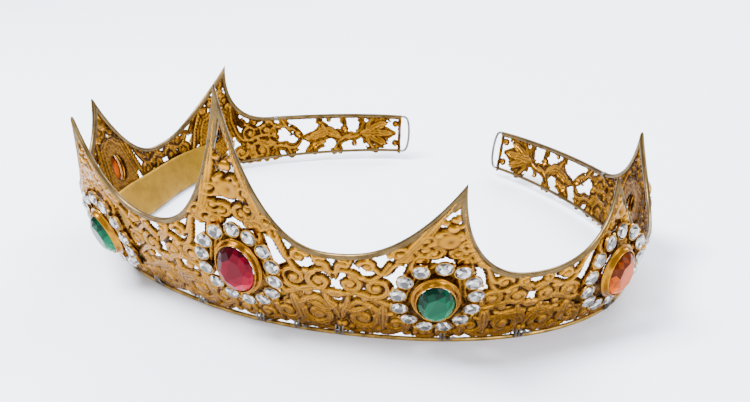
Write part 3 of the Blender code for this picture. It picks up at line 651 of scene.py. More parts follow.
def lay_domes(uu, vv, depth, solid, height):
    """Adds the domes to a grid's metal and height."""
    for dome in DOMES:
        part = window(uu, vv, dome.middle[None], dome.radius + 0.5)
        if uu[part].size:
            gap = np.hypot(uu[part] - dome.middle[0], vv[part] - dome.middle[1]) / dome.radius
            dish = dome.dish * np.exp(-((gap / DISH_WIDTH) ** 2))
            rise = dome.rise * (np.sqrt(np.clip(1 - gap**2, 0, 1)) - dish)
            solid[part] = np.maximum(solid[part], dome.radius * (1 - gap))
            height[part] = np.maximum(height[part], np.where(gap < 1, LIFT + depth * rise, EMPTY))


def spare_ground(uu, vv, away, below_rim):
    """How far inside the plain ground that is left between the gaps each grid point is."""
    share = (vv - foot_height(uu)) / (rim_height(uu) - foot_height(uu))
    rear = REAR_GROUND * np.clip((np.abs(uu) - REAR_GROUND_START) / 5, 0, 1)
    spare = np.maximum(np.interp(share, *GROUND_WIDTH), rear) - away
    spare = np.maximum(spare, INNER_EDGE - below_rim)
    for peak in PEAKS:
        wide, high = halo_line(peak)
        from_stone = np.hypot((uu - peak.station) / wide, (vv - peak.centre) / high)
        spare = np.maximum(spare, HALO_SOLID * (1 - from_stone))
    for outline in GAPS:
        part = window(uu, vv, outline, 1.5)
        if uu[part].size:
            gap = outside(uu[part].ravel(), vv[part].ravel(), outline).reshape(uu[part].shape)
            spare[part] = np.minimum(spare[part], gap)
    return np.maximum(spare, END_BAR - END_STATION + np.abs(uu))


def relief_field(uu, vv, depth):
    """How far inside the metal each grid point is, negative in a gap, and the relief's height there."""
    solid, height = np.full(uu.shape, EMPTY), np.full(uu.shape, EMPTY)
    away = lay_strokes(uu, vv, depth, solid, height)
    lay_domes(uu, vv, depth, solid, height)
    rim, drop = rim_height(uu), rim_drop(uu)
    slope = drop / RIM_WIDTH
    metal = np.maximum(spare_ground(uu, vv, away, (rim - drop - vv) / slope), solid)
    height = np.maximum(height, GROUND_LIFT + ground(uu, vv, away))
    metal = np.minimum(metal, (rim - UNDER_RIM * drop - vv) / slope)
    height -= ROLL * np.exp(-np.clip(metal, 0, None) / ROLL_WIDTH)
    return metal, height


def new_piece(name, bm, materials, smooth=True, replaces=()):
    """Makes a bmesh an object that rides on the tiara."""
    mesh = bpy.data.meshes.new(name)
    bm.to_mesh(mesh)
    bm.free()
    for material in materials:
        mesh.materials.append(material)
    mesh.polygons.foreach_set("use_smooth", [smooth] * len(mesh.polygons))
    piece = bpy.data.objects.new(name, mesh)
    bpy.context.scene.collection.objects.link(piece)
    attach(piece, BODY)
    if replaces:
        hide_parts(*replaces)
    return piece


def grid(bm, columns, rows, shape, weld=True):
    """Adds a grid whose points shape() gives from their shares along its two ways, welded at its seams."""
    made = bmesh.ops.create_grid(bm, x_segments=columns, y_segments=rows, size=1.0)["verts"]
    shares = (np.array([vert.co.xy for vert in made]) + 1) / 2
    for vert, spot in zip(made, shape(shares[:, 0], shares[:, 1])):
        vert.co = spot
    if weld:
        bmesh.ops.remove_doubles(bm, verts=made, dist=0.000001)
    return [vert for vert in made if vert.is_valid]


def close_ends(bm):
    """Fills the open ends of swept pieces and turns every face outwards."""
    edges = [edge for edge in bm.edges if edge.is_boundary]
    if edges:
        bmesh.ops.holes_fill(bm, edges=edges, sides=0)
    bmesh.ops.recalc_face_normals(bm, faces=bm.faces)


def tube(bm, points, radius, sides=8):
    """A round wire along points in metres."""
    points = np.asarray(points, float)
    along = np.gradient(points, axis=0)
    along /= np.linalg.norm(along, axis=1)[:, None]
    first = np.cross(along[0], (0.31, 0.17, 0.93))
    normals = [first / np.linalg.norm(first)]
    for way in along[1:]:
        turned_on = normals[-1] - way * (normals[-1] @ way)
        normals.append(turned_on / np.linalg.norm(turned_on))
    normals = np.array(normals)
    others = np.cross(along, normals)

    def shape(x, y):
        spot = np.rint(x * (len(points) - 1)).astype(int)
        angle = 2 * math.pi * y[:, None]
        return points[spot] + radius * (normals[spot] * np.cos(angle) + others[spot] * np.sin(angle))

    grid(bm, len(points) - 1, sides, shape)


def linear(code):
    """A hex colour as linear red, green and blue."""
    shares = [int(code[at:at + 2], 16) / 255 for at in (1, 3, 5)]
    return tuple(one / 12.92 if one <= 0.04045 else ((one + 0.055) / 1.055) ** 2.4 for one in shares)


def colour(name, code, description):
    """A colour setting that starts at a hex colour."""
    return FloatVectorProperty(
        name=name, description=description, subtype="COLOR", size=3, min=0, max=1, default=linear(code)
    )


class TiaraSizes(bpy.types.PropertyGroup):
    """Sizes of the metalwork that the frame doesn't fix."""

    cell: FloatProperty(
        name="Cell", description="Width of one face of the stamped sheet", default=0.00029, unit="LENGTH"
    )
    sheet: FloatProperty(
        name="Sheet", description="Thickness of the stamped sheet", default=0.00042, unit="LENGTH"
    )
    relief: FloatProperty(
        name="Relief", description="How far the ornament stands out against its table", default=0.95, min=0
    )
    rim_groove: FloatProperty(
        name="Rim groove", description="Depth of the groove along the rim", default=0.00035, unit="LENGTH"
    )
    tie_wire: FloatProperty(
        name="Tie wire", description="Radius of the steel tie wire", default=0.00028, unit="LENGTH"
    )
    facets: IntProperty(name="Facets", description="Facets round a large stone", default=16, min=8, max=32)


class TiaraColours(bpy.types.PropertyGroup):
    """Colours of the metals and pastes."""

    gold: colour("Gold", "#8d5f14", "Gilding on the raised ornament")
    # The colour of the recesses is painted shade in the hollows as well as tarnished old gilding
    recess_shade_and_tarnish: colour("Recess", "#2a1403", "Old gilding in the recesses")
    strip: colour("Strip", "#5e4b2c", "Worn gilding on the rim strip")
    lining: colour("Lining", "#8e6a1a", "Matte gilding of the lining")
    dish: colour("Dish", "#9c6812", "Orange gold of the collets")
    steel: colour("Steel", "#77736c", "Tie wire")
    wire: colour("Wire", "#b58f45", "Tarnished wire under the foot")
    cup: colour("Cup", "#b98a3a", "Cups of the small stones")
    white: colour("White", "#b8b2aa", "Small stones")
    ruby: colour("Ruby", "#7a001c", "Middle stone")
    green: colour("Green", "#005a3a", "Front stones")
    amber: colour("Amber", "#c65408", "Side stones")
    pale_blue: colour("Pale blue", "#24449c", "Rear stones")


class TiaraStage(bpy.types.PropertyGroup):
    """Floor, lights and camera."""

    floor: colour("Floor", "#f4f7fe", "Pale paper that the tiara stands on")
    sky: colour("Sky", "#f2f6ff", "Light from all round")
    sky_power: FloatProperty(name="Sky", description="Strength of the light from all round", default=1.25)
    key_power: FloatProperty(name="Key", description="Power of the main light", default=25.5, unit="POWER")
    lens: FloatProperty(name="Lens", description="Focal length in mm", default=45.0)


def add(tree, kind, settings=None, links=None):
    """Adds a node, sets its values, sockets and ramp stops, and links what feeds it."""
    made = tree.nodes.new(kind)
    for key, value in (settings or {}).items():
        if key == "stops":
            ramp = made.color_ramp
            while len(ramp.elements) < len(value):
                ramp.elements.new(0.5)
            for element, (spot, shade) in zip(ramp.elements, value):
                element.position = spot
                element.color = (*shade, 1)
        elif isinstance(key, int) or key in made.inputs:
            made.inputs[key].default_value = value
        else:
            setattr(made, key, value)
    for socket, source in (links or {}).items():
        tree.links.new(source, made.inputs[socket])
    return made


def start_material(name):
    """A new material with its shader, and the object's own place as a texture coordinate."""
    material = bpy.data.materials.new(name)
    material.use_nodes = True
    tree = material.node_tree
    shader = tree.nodes["Principled BSDF"]
    spot = add(tree, "ShaderNodeTexCoord").outputs["Object"]
    return material, tree, shader, spot


def noise(tree, spot, millimetres, detail, roughness=0.5):
    """A noise whose pattern repeats about every so many millimetres."""
    settings = {"Scale": 1 / (millimetres * MM), "Detail": detail, "Roughness": roughness}
    return add(tree, "ShaderNodeTexNoise", settings, {"Vector": spot}).outputs["Fac"]


def ramp(tree, value, *stops):
    """A colour ramp whose stops are pairs of a place and a colour."""
    return add(tree, "ShaderNodeValToRGB", {"stops": stops}, {"Fac": value}).outputs["Color"]


def spread(tree, value, low, high, to_low, to_high):
    """A value's range from low to high, laid over another range."""
    settings = {"From Min": low, "From Max": high, "To Min": to_low, "To Max": to_high}
    return add(tree, "ShaderNodeMapRange", settings, {"Value": value}).outputs[0]


def bumps(tree, value, strength, depth):
    """Fine bumps of a depth in mm."""
    settings = {"Strength": strength, "Distance": depth * MM}
    return add(tree, "ShaderNodeBump", settings, {"Height": value}).outputs["Normal"]


def sum_of(tree, value, factor, added):
    """A value times a number, plus a number or another node's value."""
    made = add(tree, "ShaderNodeMath", {"operation": "MULTIPLY_ADD", 1: factor}, {0: value})
    if isinstance(added, bpy.types.NodeSocket):
        tree.links.new(added, made.inputs[2])
    else:
        made.inputs[2].default_value = added
    return made.outputs[0]


def attribute(tree, name):
    """A value that the mesh carries under a name."""
    return add(tree, "ShaderNodeAttribute", {"attribute_name": name}).outputs["Fac"]


def feed(tree, shader, sources, settings):
    """Links sources to the shader's sockets and sets its constant ones."""
    for socket, source in sources.items():
        tree.links.new(source, shader.inputs[socket])
    for socket, value in settings.items():
        shader.inputs[socket].default_value = value


def stamped_gilding(name, bright, dark, polish):
    """Stamped brass, fire gilt: bright on the ridges, with painted highlight and wear, and brown and matte
    in the recesses, with painted shade and tarnish.
    """
    material, tree, shader, spot = start_material(name)
    # the ridge colour: painted highlight as well as wear
    worn_and_highlit = tuple(min(1.0, channel * HIGHLIGHT_AND_WEAR_BRIGHTER) for channel in bright)
    middle = tuple((up * 2 + down) / 3 for up, down in zip(bright, dark))
    patches = sum_of(tree, noise(tree, spot, 5, 4.0, 0.6), 0.5, -0.25)
    level = sum_of(tree, attribute(tree, "relief"), 1.0, patches)
    sources = {
        "Base Color": ramp(tree, level, (0.0, dark), (0.32, middle), (0.58, bright), (0.95, worn_and_highlit)),
        "Roughness": spread(tree, level, 0.0, 0.8, polish + 0.22, polish),
        "Normal": bumps(tree, noise(tree, spot, 0.5, 3.0, 0.7), 0.8, 0.1),
    }
    feed(tree, shader, sources, {"Metallic": 1.0})
    return material


def drawn_metal(row, base):
    """Drawn or rolled metal: an even colour with darker handling marks and a faint grain."""
    material, tree, shader, spot = start_material(row.name)
    patches = noise(tree, spot, 4, 5.0, 0.65)
    rubbed = tuple(min(1, one * 1.15) for one in base)
    sources = {
        "Base Color": ramp(tree, patches, (0.30, linear(row.dark)), (0.55, base), (0.80, rubbed)),
        "Roughness": spread(tree, patches, 0.3, 0.7, row.polish + 0.15, row.polish),
        "Normal": bumps(tree, noise(tree, spot, row.grain, 2.0), 0.4, row.depth),
    }
    feed(tree, shader, sources, {"Metallic": 1.0})
    return material


def cut_paste(row, tint):
    """Cut lead glass backed with foil: some facets dark, some lit through, and a few dull scuffs."""
    material, tree, shader, spot = start_material(row.name)
    dark = tuple(one * 0.10 for one in tint)
    light = tuple(min(1.0, 1.8 * one) for one in tint)
    # The facet ramp is painted light: dark facets are painted shade, light ones painted light coming out
    # of the stone
    sources = {
        "Base Color": ramp(tree, attribute(tree, "facet"), (0.15, dark), (0.80, tint), (1.0, light)),
        "Roughness": spread(tree, noise(tree, spot, 3, 2.0), 0.4, 0.75, row.scratch, row.scratch + 0.08),
    }
    settings = {
        "IOR": 1.58,
        "Specular IOR Level": row.glint,
        "Transmission Weight": row.through,
        "Metallic": row.foil,
    }
    feed(tree, shader, sources, settings)
    return material


# Drawn and rolled metals: roughness where polished, and the size and depth of the grain in mm
Drawn = namedtuple("Drawn", "key name dark polish grain depth")
DRAWN_METALS = (
    Drawn("strip", "drawn_gilt_strip_worn", "#3c2d18", 0.28, 0.8, 0.03),
    Drawn("dish", "burnished_gilt_collet", "#5c3608", 0.18, 1.2, 0.02),
    Drawn("lining", "rolled_gilt_brass_matte", "#7a5a16", 0.46, 0.7, 0.06),
    Drawn("wire", "drawn_brass_wire_tarnished", "#4d3a18", 0.30, 0.6, 0.03),
    Drawn("steel", "annealed_steel_tie_wire", "#4a443c", 0.35, 0.4, 0.02),
    Drawn("cup", "foiled_cup_darkened", "#5a3a10", 0.30, 0.6, 0.02),
)
# Pastes: how much light goes through, how much foil and gloss show, and the roughness of clean glass
Paste = namedtuple("Paste", "key name through foil glint scratch")
PASTES = (
    Paste("white", "cut_white_paste", 0.25, 0.35, 0.5, 0.06),
    Paste("ruby", "cut_paste_ruby", 0.0, 0.1, 0.06, 0.03),
    Paste("green", "cut_paste_green", 0.0, 0.1, 0.06, 0.03),
    Paste("amber", "cut_paste_amber", 0.0, 0.1, 0.06, 0.03),
    Paste("pale_blue", "cut_paste_pale_blue", 0.0, 0.1, 0.06, 0.03),
)
MATERIALS = {}


def materials():
    """The finishes by name, made once."""
    if not MATERIALS:
        tones = bpy.context.scene.tiara_colours
        gold, recess_shade_and_tarnish = tuple(tones.gold), tuple(tones.recess_shade_and_tarnish)
        MATERIALS["gilt"] = stamped_gilding("stamped_fire_gilt_brass", gold, recess_shade_and_tarnish, 0.24)
        for row in DRAWN_METALS:
            MATERIALS[row.key] = drawn_metal(row, tuple(getattr(tones, row.key)))
        for row in PASTES:
            MATERIALS[row.key] = cut_paste(row, tuple(getattr(tones, row.key)))
    return MATERIALS


def pulled_to_edge(metal, kept, cell, column):
    """How far the grid's outer points move so that they lie on the metal's edge."""
    padded = np.pad(kept, 1)
    touching = padded[1:, 1:].astype(int) + padded[:-1, 1:] + padded[1:, :-1] + padded[:-1, :-1]
    rise_v, rise_u = np.gradient(metal, cell, column)
    steep = np.maximum(rise_u**2 + rise_v**2, LEAST_STEEP)
    move = np.where(touching < 4, np.clip(metal, -0.6 * cell, 0.6 * cell) / steep, 0)
    move = np.clip(move, -0.9 * cell, 0.9 * cell)
    move_u = move * rise_u
    move_u[:, [0, -1]] = 0
    return move_u, move * rise_v


def gallery_panel(name, start, end):
    """One length of the stamped sheet: a grid cut along its gaps and raised by its ornament."""
    sizes = bpy.context.scene.tiara_sizes
    cell = sizes.cell / MM
    columns = round((end - start) / cell)
    tops = rim_height(np.linspace(start, end, 200))
    rows = math.ceil((tops.max() - SHEET_FOOT) / cell)
    uu, vv = np.meshgrid(np.linspace(start, end, columns + 1), SHEET_FOOT + cell * np.arange(rows + 1))
    metal, height = relief_field(uu, vv, sizes.relief)
    lobes = 0.55 + 0.45 * np.cos(2 * math.pi * uu / FOOT_LOBE)
    metal = np.minimum(metal, vv - foot_height(uu) + (FRONT_FOOT - SHEET_FOOT) * lobes)
    metal = np.minimum(metal, END_STATION - np.abs(uu) + 0.05)
    kept = (metal[1:, 1:] + metal[:-1, 1:] + metal[1:, :-1] + metal[:-1, :-1]) > 0
    move_u, move_v = pulled_to_edge(metal, kept, cell, uu[0, 1] - uu[0, 0])
    points = place(uu - move_u, vv - move_v, height)
    # The relief attribute is painted light: painted shade in hollows and low places, painted highlight on
    # ridges, with some tarnish and wear
    hollow = height - soften(np.where(metal > 0, height, LIFT), BLUR)
    shade = np.clip(SHADE_AND_WEAR_FLAT + SHADE_AND_WEAR_HOLLOW * hollow + SHADE_AND_WEAR_HEIGHT * (height - 0.5), 0, 1)

    bm = bmesh.new()
    layer = bm.verts.layers.float.new("relief")
    made = bmesh.ops.create_grid(bm, x_segments=columns, y_segments=rows, size=1.0)["verts"]
    spots = (np.array([vert.co.xy for vert in made]) + 1) / 2 * (columns, rows)
    middles = np.array([face.calc_center_median().xy for face in bm.faces])
    cells = np.floor((middles + 1) / 2 * (columns, rows)).astype(int)
    cut = [face for face, stays in zip(bm.faces, kept[cells[:, 1], cells[:, 0]]) if not stays]
    for vert, (column, row) in zip(made, np.rint(spots).astype(int)):
        vert.co = points[row, column]
        vert[layer] = shade[row, column]
    bmesh.ops.delete(bm, geom=cut, context="FACES")
    drop_crumbs(bm)
    piece = new_piece(name, bm, [materials()["gilt"]], replaces=["gallery"])
    wall = piece.modifiers.new("sheet", "SOLIDIFY")
    wall.thickness = sizes.sheet
    wall.offset = -1
    return piece


def joined(first, links):
    """Everything that links() leads to from a first item."""
    found, queue = {first}, [first]
    while queue:
        for other in links(queue.pop()):
            if other not in found:
                found.add(other)
                queue.append(other)
    return found


def drop_crumbs(bm, least=60):
    """Deletes scraps of a grid that hang loose from the rest."""
    seen, crumbs = set(), []
    for first in bm.faces:
        if first not in seen:
            group = joined(first, lambda face: [other for edge in face.edges for other in edge.link_faces])
            seen |= group
            if len(group) < least:
                crumbs += group
    bmesh.ops.delete(bm, geom=crumbs, context="FACES")


def edge_strip(name, stations, across_shape, front, back):
    """A grooved strip that follows an edge of the sheet, closed all round."""
    sizes = bpy.context.scene.tiara_sizes
    groove = sizes.rim_groove / MM

    def shape(x, y):
        u = stations[np.rint(x * (len(stations) - 1)).astype(int)]
        across = 0.5 - 0.5 * np.cos(2 * math.pi * y)
        edge = np.clip(4 * across * (1 - across), 0, 1) ** 0.35
        face = front * edge - groove * np.exp(-(((across - 0.45) / 0.16) ** 2))
        return place(u, across_shape(u, across), np.where(y < 0.5, face, -back * edge))

    bm = bmesh.new()
    grid(bm, len(stations) - 1, 22, shape)
    close_ends(bm)
    return new_piece(name, bm, [materials()["strip"]])


def rim_stations():
    """Stations along the rim, close together at the tips and wider in the valleys."""
    found = {-END_STATION, END_STATION}
    for peak, (left, right) in zip(PEAKS, REACH):
        for share in np.linspace(0, 1, 34) ** 1.7:
            found.update((round(peak.station - share * left, 3), round(peak.station + share * right, 3)))
    first = PEAKS[-1].station + PANEL_REACH
    for u in np.arange(first + 1, END_STATION, 1.0):
        found.update((round(u, 3), round(-u, 3)))
    return np.array(sorted(found))


def seat(u, v, w):
    """A place of the band as a frame in mm: X along the band, Y up the sheet and Z outwards."""
    along = Vector(place(u + 0.5, v, w) - place(u - 0.5, v, w)).normalized()
    out = along.cross(Vector(place(u, v + 0.5, 0) - place(u, v - 0.5, 0))).normalized()
    turned_to = Matrix((along, out.cross(along), out)).transposed().to_4x4()
    return Matrix.Translation(Vector(place(u, v, w))) @ turned_to @ Matrix.Scale(MM, 4)


def gem(bm, wide, high, facets, levels, matrix, index=0):
    """A cut stone: the hull of rings of points, each turned half a facet from the one before."""
    made = []
    for number, (share, out, fewer) in enumerate(levels):
        count = max(4, facets // fewer)
        ring = bmesh.ops.create_circle(bm, segments=count, radius=1.0)["verts"]
        spin = Matrix.Rotation(math.pi / count * (number % 2), 4, "Z")
        size = Matrix.Diagonal((wide / 2 * share, high / 2 * share, 1, 1))
        bmesh.ops.transform(bm, matrix=Matrix.Translation((0, 0, out)) @ size @ spin, verts=ring)
        made += ring
    hull = bmesh.ops.convex_hull(bm, input=made)
    spare = [item for item in hull["geom_interior"] if isinstance(item, bmesh.types.BMVert)]
    bmesh.ops.delete(bm, geom=spare, context="VERTS")
    kept = [vert for vert in made if vert.is_valid]
    bmesh.ops.transform(bm, matrix=matrix, verts=kept)
    for face in {face for vert in kept for face in vert.link_faces}:
        face.material_index = index
        face.smooth = False
    return kept


# The collet's section: how far out from the stone's girdle, and the height above its back, in mm
COLLET_PROFILE = (
    (-0.9, 0.0), (0.9, 0.0), (1.25, 0.08), (1.45, 0.3), (1.5, 0.56), (1.42, 0.78), (1.26, 0.86),
    (1.1, 0.78), (1.0, 0.72), (0.88, 0.82), (0.74, 1.15), (0.62, 1.55), (0.54, 1.86), (0.46, 2.04),
    (0.34, 2.1), (0.22, 2.04), (0.14, 1.86), (0.08, 1.6), (0.0, 1.2), (-0.6, 0.8),
)
# Rings of the stones: size against the girdle, height out from it in mm, and the share of the facets
STONE_LEVELS = ((0.5, -1.3, 2), (1.0, 0.0, 1), (0.98, 0.3, 1), (0.86, 1.1, 1), (0.62, 1.9, 2))
SMALL_STONE = 4.0       # and the small stones, their seat and the cups and beads round them, in mm
SMALL_SEAT = 0.78
CUP_FOOT = 1.6
CUP_MOUTH = 2.1
CUP_DEPTH = 0.95
CUP_RISE = 0.48
CUP_WALL = 0.12
CUP_HOLLOW = 0.7
BEAD = 0.42
BEAD_AT = (2.05, 1.15, 0.75)
SMALL_LEVELS = ((0.4, -0.7, 2), (1.0, 0.0, 1), (0.8, 0.45, 1), (0.55, 0.75, 2))


def oval_point(peak, profile, x, y):
    """A point of an oval ring: x is the share round it and y the share along its profile."""
    rows = np.array(profile + profile[:1])
    out = np.interp(y * (len(rows) - 1), range(len(rows)), rows[:, 0])
    at = np.interp(y * (len(rows) - 1), range(len(rows)), rows[:, 1])
    turn = 2 * math.pi * x
    return np.stack(
        [(peak.wide / 2 + out) * np.cos(turn), (peak.high / 2 + out) * np.sin(turn), at + SETTING_BACK], 1
    )


def collet(peak):
    """The burnished oval saucer that holds a large stone, with its rolled rim and thin inner lip."""
    bm = bmesh.new()
    grid(bm, 56, len(COLLET_PROFILE), lambda x, y: oval_point(peak, COLLET_PROFILE, x, y), weld=False)
    bmesh.ops.remove_doubles(bm, verts=bm.verts, dist=0.001)
    bmesh.ops.transform(bm, matrix=seat(peak.station, peak.centre, 0), verts=bm.verts)
    bmesh.ops.recalc_face_normals(bm, faces=bm.faces)
    name = peak.name
    return new_piece("collet_dish_" + name, bm, [materials()["dish"]], replaces=["collet_" + name])


def large_stone(peak):
    """A large stone, each of whose facets carries how much light comes out of it."""
    facets = bpy.context.scene.tiara_sizes.facets
    bm = bmesh.new()
    lit = bm.faces.layers.float.new("facet")
    gem(bm, peak.wide, peak.high, facets, STONE_LEVELS, Matrix.Identity(4))
    bmesh.ops.recalc_face_normals(bm, faces=bm.faces)
    for number, face in enumerate(bm.faces):
        across, up, _ = face.calc_center_median()
        # Painted light: facets lighter towards the bottom and one side, where light from above comes out,
        # darker at the top
        slope = 0.5 - 0.9 * up / peak.high + 0.35 * across / peak.wide
        face[lit] = slope + 0.16 * math.sin(7.3 * number)
    raised_to = Matrix.Translation((0, 0, SETTING_BACK + GIRDLE))
    bmesh.ops.transform(bm, matrix=seat(peak.station, peak.centre, 0) @ raised_to, verts=bm.verts)
    return new_piece(
        "paste_" + peak.name, bm, [materials()[peak.stone]], smooth=False,
        replaces=["stone_" + peak.name],
    )


def small_stone(bm, lit, move, number):
    """A small white stone with a gold bead beside it."""
    spin = Matrix.Rotation(2.4 * number, 4, "Z")
    sized = move @ Matrix.Translation((0, 0, SMALL_SEAT)) @ spin
    stone = gem(bm, SMALL_STONE, SMALL_STONE, 12, SMALL_LEVELS, sized, 1)
    # Painted reflections: each facet gets a light or dark tone that varies from facet to facet, for the
    # sparkle of a cut stone
    for face in {face for vert in stone for face in vert.link_faces}:
        face[lit] = 0.5 + 0.5 * math.sin(5.7 * face.index + 2.1 * number)
    bead = bmesh.ops.create_icosphere(bm, subdivisions=1, radius=BEAD)["verts"]
    bmesh.ops.transform(bm, matrix=move @ Matrix.Translation(BEAD_AT), verts=bead)


def small_cup(bm, move):
    """The thin cup that a small stone sits in."""
    cup = bmesh.ops.create_cone(
        bm, segments=18, radius1=CUP_FOOT, radius2=CUP_MOUTH, depth=CUP_DEPTH, cap_ends=True
    )["verts"]
    bmesh.ops.translate(bm, verts=cup, vec=(0, 0, CUP_RISE))
    faces = {face for vert in cup for face in vert.link_faces}
    mouth = max(faces, key=lambda face: face.calc_center_median().z)
    bmesh.ops.inset_region(bm, faces=[mouth], thickness=CUP_WALL)
    floor = bmesh.ops.extrude_face_region(bm, geom=[mouth])["geom"]
    bmesh.ops.delete(bm, geom=[mouth], context="FACES_ONLY")
    sunk = [item for item in floor if isinstance(item, bmesh.types.BMVert)]
    bmesh.ops.translate(bm, verts=sunk, vec=(0, 0, -CUP_HOLLOW))
    whole = joined(sunk[0], lambda vert: [other for edge in vert.link_edges for other in edge.verts])
    bmesh.ops.transform(bm, matrix=move, verts=list(whole))


def halo(peak):
    """The ring of small white pastes, each in its own thin cup."""
    wide, high = halo_line(peak)
    around = np.linspace(0, 2 * math.pi, 721)
    line = np.stack([wide * np.sin(around), high * np.cos(around)], 1)
    run = np.concatenate([[0], np.cumsum(np.hypot(*np.diff(line, axis=0).T))])
    bm = bmesh.new()
    lit = bm.faces.layers.float.new("facet")
    for number in range(peak.small):
        turn = np.interp(number * run[-1] / peak.small, run, around)
        u, v = peak.station + wide * math.sin(turn), peak.centre + high * math.cos(turn)
        move = seat(u, v, SETTING_BACK) @ Matrix.Rotation(-turn, 4, "Z")
        small_stone(bm, lit, move, number)
        small_cup(bm, move)
    return new_piece(
        "pastes_" + peak.name, bm, [materials()["cup"], materials()["white"]], smooth=False,
        replaces=["halo_" + peak.name],
    )


def lining():
    """The plain strip inside the gallery's foot, a little uneven from fitting."""

    def shape(x, y):
        u = (2 * x - 1) * FRONT_REACH
        across = 0.5 - 0.5 * np.cos(2 * math.pi * y)
        edge = np.clip(4 * across * (1 - across), 0, 1) ** 0.25
        wave = LINING_WAVE * np.sin(u / LINING_WAVE_LENGTH) * np.sin(across * 3)
        w = LINING_MIDDLE + np.where(y < 0.5, 1, -1) * LINING_HALF * edge + wave * edge
        return place(u, LINING_FOOT + (LINING_TOP - LINING_FOOT) * across, w)

    bm = bmesh.new()
    grid(bm, 260, 24, shape)
    close_ends(bm)
    finish = [materials()["lining"]]
    return new_piece("lining_strip", bm, finish, replaces=["lining_band"])


def foot_line(stations, height):
    """Points along the base wire's middle."""
    x, y, out_x, out_y = plan(stations)
    out = low_lean(stations) * FRONT_FOOT
    return np.stack([x + out_x * out, y + out_y * out, np.full(len(stations), height)], 1) * MM


def base_wire():
    """The round wire under the front, which the tiara rests on."""
    bm = bmesh.new()
    tube(bm, foot_line(np.linspace(-FRONT_REACH, FRONT_REACH, 240), WIRE_HEIGHT), WIRE_RADIUS * MM, 12)
    close_ends(bm)
    return new_piece("foot_wire", bm, [materials()["wire"]], replaces=["base_wire"])


def end_loops():
    """A flat D of wire at each end of the band."""
    bm = bmesh.new()
    turn = np.linspace(0, math.pi, 40)
    middle, half = (END_TOP + REAR_FOOT) / 2, (END_TOP - REAR_FOOT) / 2 - LOOP_INSET
    for side in (-1, 1):
        out = (LOOP_LENGTH - 0.4) * np.clip(np.sin(turn), 0, 1) ** 0.45
        points = place(side * (END_STATION - 0.3 + out), middle + half * np.cos(turn), 0)
        tube(bm, points, LOOP_RADIUS * MM, 8)
    close_ends(bm)
    return new_piece("end_loops", bm, [materials()["steel"]])


def ties():
    """Turns of steel wire that bind the gallery's foot to the base wire, with short twisted ends."""
    radius = bpy.context.scene.tiara_sizes.tie_wire
    bm = bmesh.new()
    for number, station in enumerate(TIES):
        turns = 2 + number % 2
        t = np.linspace(0, 1, 18 * turns)
        angle = 2 * math.pi * turns * t + number
        height = TIE_MIDDLE + TIE_UP * np.sin(angle)
        points = place(station + TIE_PITCH * turns * (t - 0.5), height, TIE_OUT * np.cos(angle))
        points[:, 2] = np.maximum(points[:, 2], radius * 1.1)
        tail = place(station + 0.6 * turns + np.array([0.5, 1.1, 1.6]), np.array([2.2, 2.9, 2.4]), 1.3)
        tube(bm, np.concatenate([points, tail]), radius, 6)
    for station in TOP_TIES:
        t = np.linspace(0, 1, 40)
        angle = 2 * math.pi * TOP_TIE_TURNS * t
        height = rim_height(station) - TOP_TIE_DROP + TOP_TIE_UP * np.cos(angle)
        points = place(station + TOP_TIE_WIDTH * (t - 0.5), height, TOP_TIE_OUT * np.sin(angle))
        tube(bm, points, radius, 6)
    close_ends(bm)
    return new_piece("steel_ties", bm, [materials()["steel"]])


def build_gallery():
    """The stamped sheet, a length for each peak, which meet in the valleys."""
    middles = list((PEAK_AT[1:] + PEAK_AT[:-1]) / 2)
    for peak, start, end in zip(PEAKS, [-END_STATION, *middles], [*middles, END_STATION]):
        gallery_panel("gallery_" + peak.name, start, end)


def build_strips():
    """The strip along the rim, and one along the foot of each rear end."""
    edge_strip(
        "rim_strip", rim_stations(), lambda u, across: rim_height(u) - across * rim_drop(u), *RIM_STRIP
    )
    rear = np.linspace(REAR_START + 8, END_STATION, 160)
    for name, side in (("left", 1), ("right", -1)):
        edge_strip(
            "foot_strip_" + name, side * rear, lambda u, across: foot_height(u) + across, *FOOT_STRIP
        )


class TIARA_OT_gallery(bpy.types.Operator):
    """Build the stamped and pierced gallery"""

    bl_idname = "tiara.gallery"
    bl_label = "Gallery"

    def execute(self, context):
        build_gallery()
        return {"FINISHED"}


class TIARA_OT_strips(bpy.types.Operator):
    """Build the grooved strips along the edges"""

    bl_idname = "tiara.strips"
    bl_label = "Edge strips"

    def execute(self, context):
        build_strips()
        return {"FINISHED"}


class TIARA_OT_collets(bpy.types.Operator):
    """Build the seven collets"""

    bl_idname = "tiara.collets"
    bl_label = "Collets"

    def execute(self, context):
        for peak in PEAKS:
            collet(peak)
        return {"FINISHED"}


class TIARA_OT_stones(bpy.types.Operator):
    """Build the seven large stones"""

    bl_idname = "tiara.stones"
    bl_label = "Large stones"

    def execute(self, context):
        for peak in PEAKS:
            large_stone(peak)
        return {"FINISHED"}


class TIARA_OT_halos(bpy.types.Operator):
    """Build the rings of small stones"""

    bl_idname = "tiara.halos"
    bl_label = "Halos"

    def execute(self, context):
        for peak in PEAKS:
            halo(peak)
        return {"FINISHED"}


class TIARA_OT_foot(bpy.types.Operator):
    """Build the lining, the base wire, the end loops and the wire ties"""

    bl_idname = "tiara.foot"
    bl_label = "Lining and wires"

    def execute(self, context):
        lining()
        base_wire()
        end_loops()
        ties()
        return {"FINISHED"}


FLOOR_SIZE = 3.0
CAMERA_AT = (0.10775, -0.23572, 0.1198)
CAMERA_AIM = (0.00243, 0.00041, 0.01267)
# Soft lights: name, place, size in metres and power against the key
LIGHTS = (
    ("key", (-0.30, -0.20, 0.70), 0.35, 1.0),
    ("fill", (0.7, -0.35, 0.45), 0.5, 0.3),
    ("back", (0.1, 0.7, 0.6), 0.6, 0.7),
)


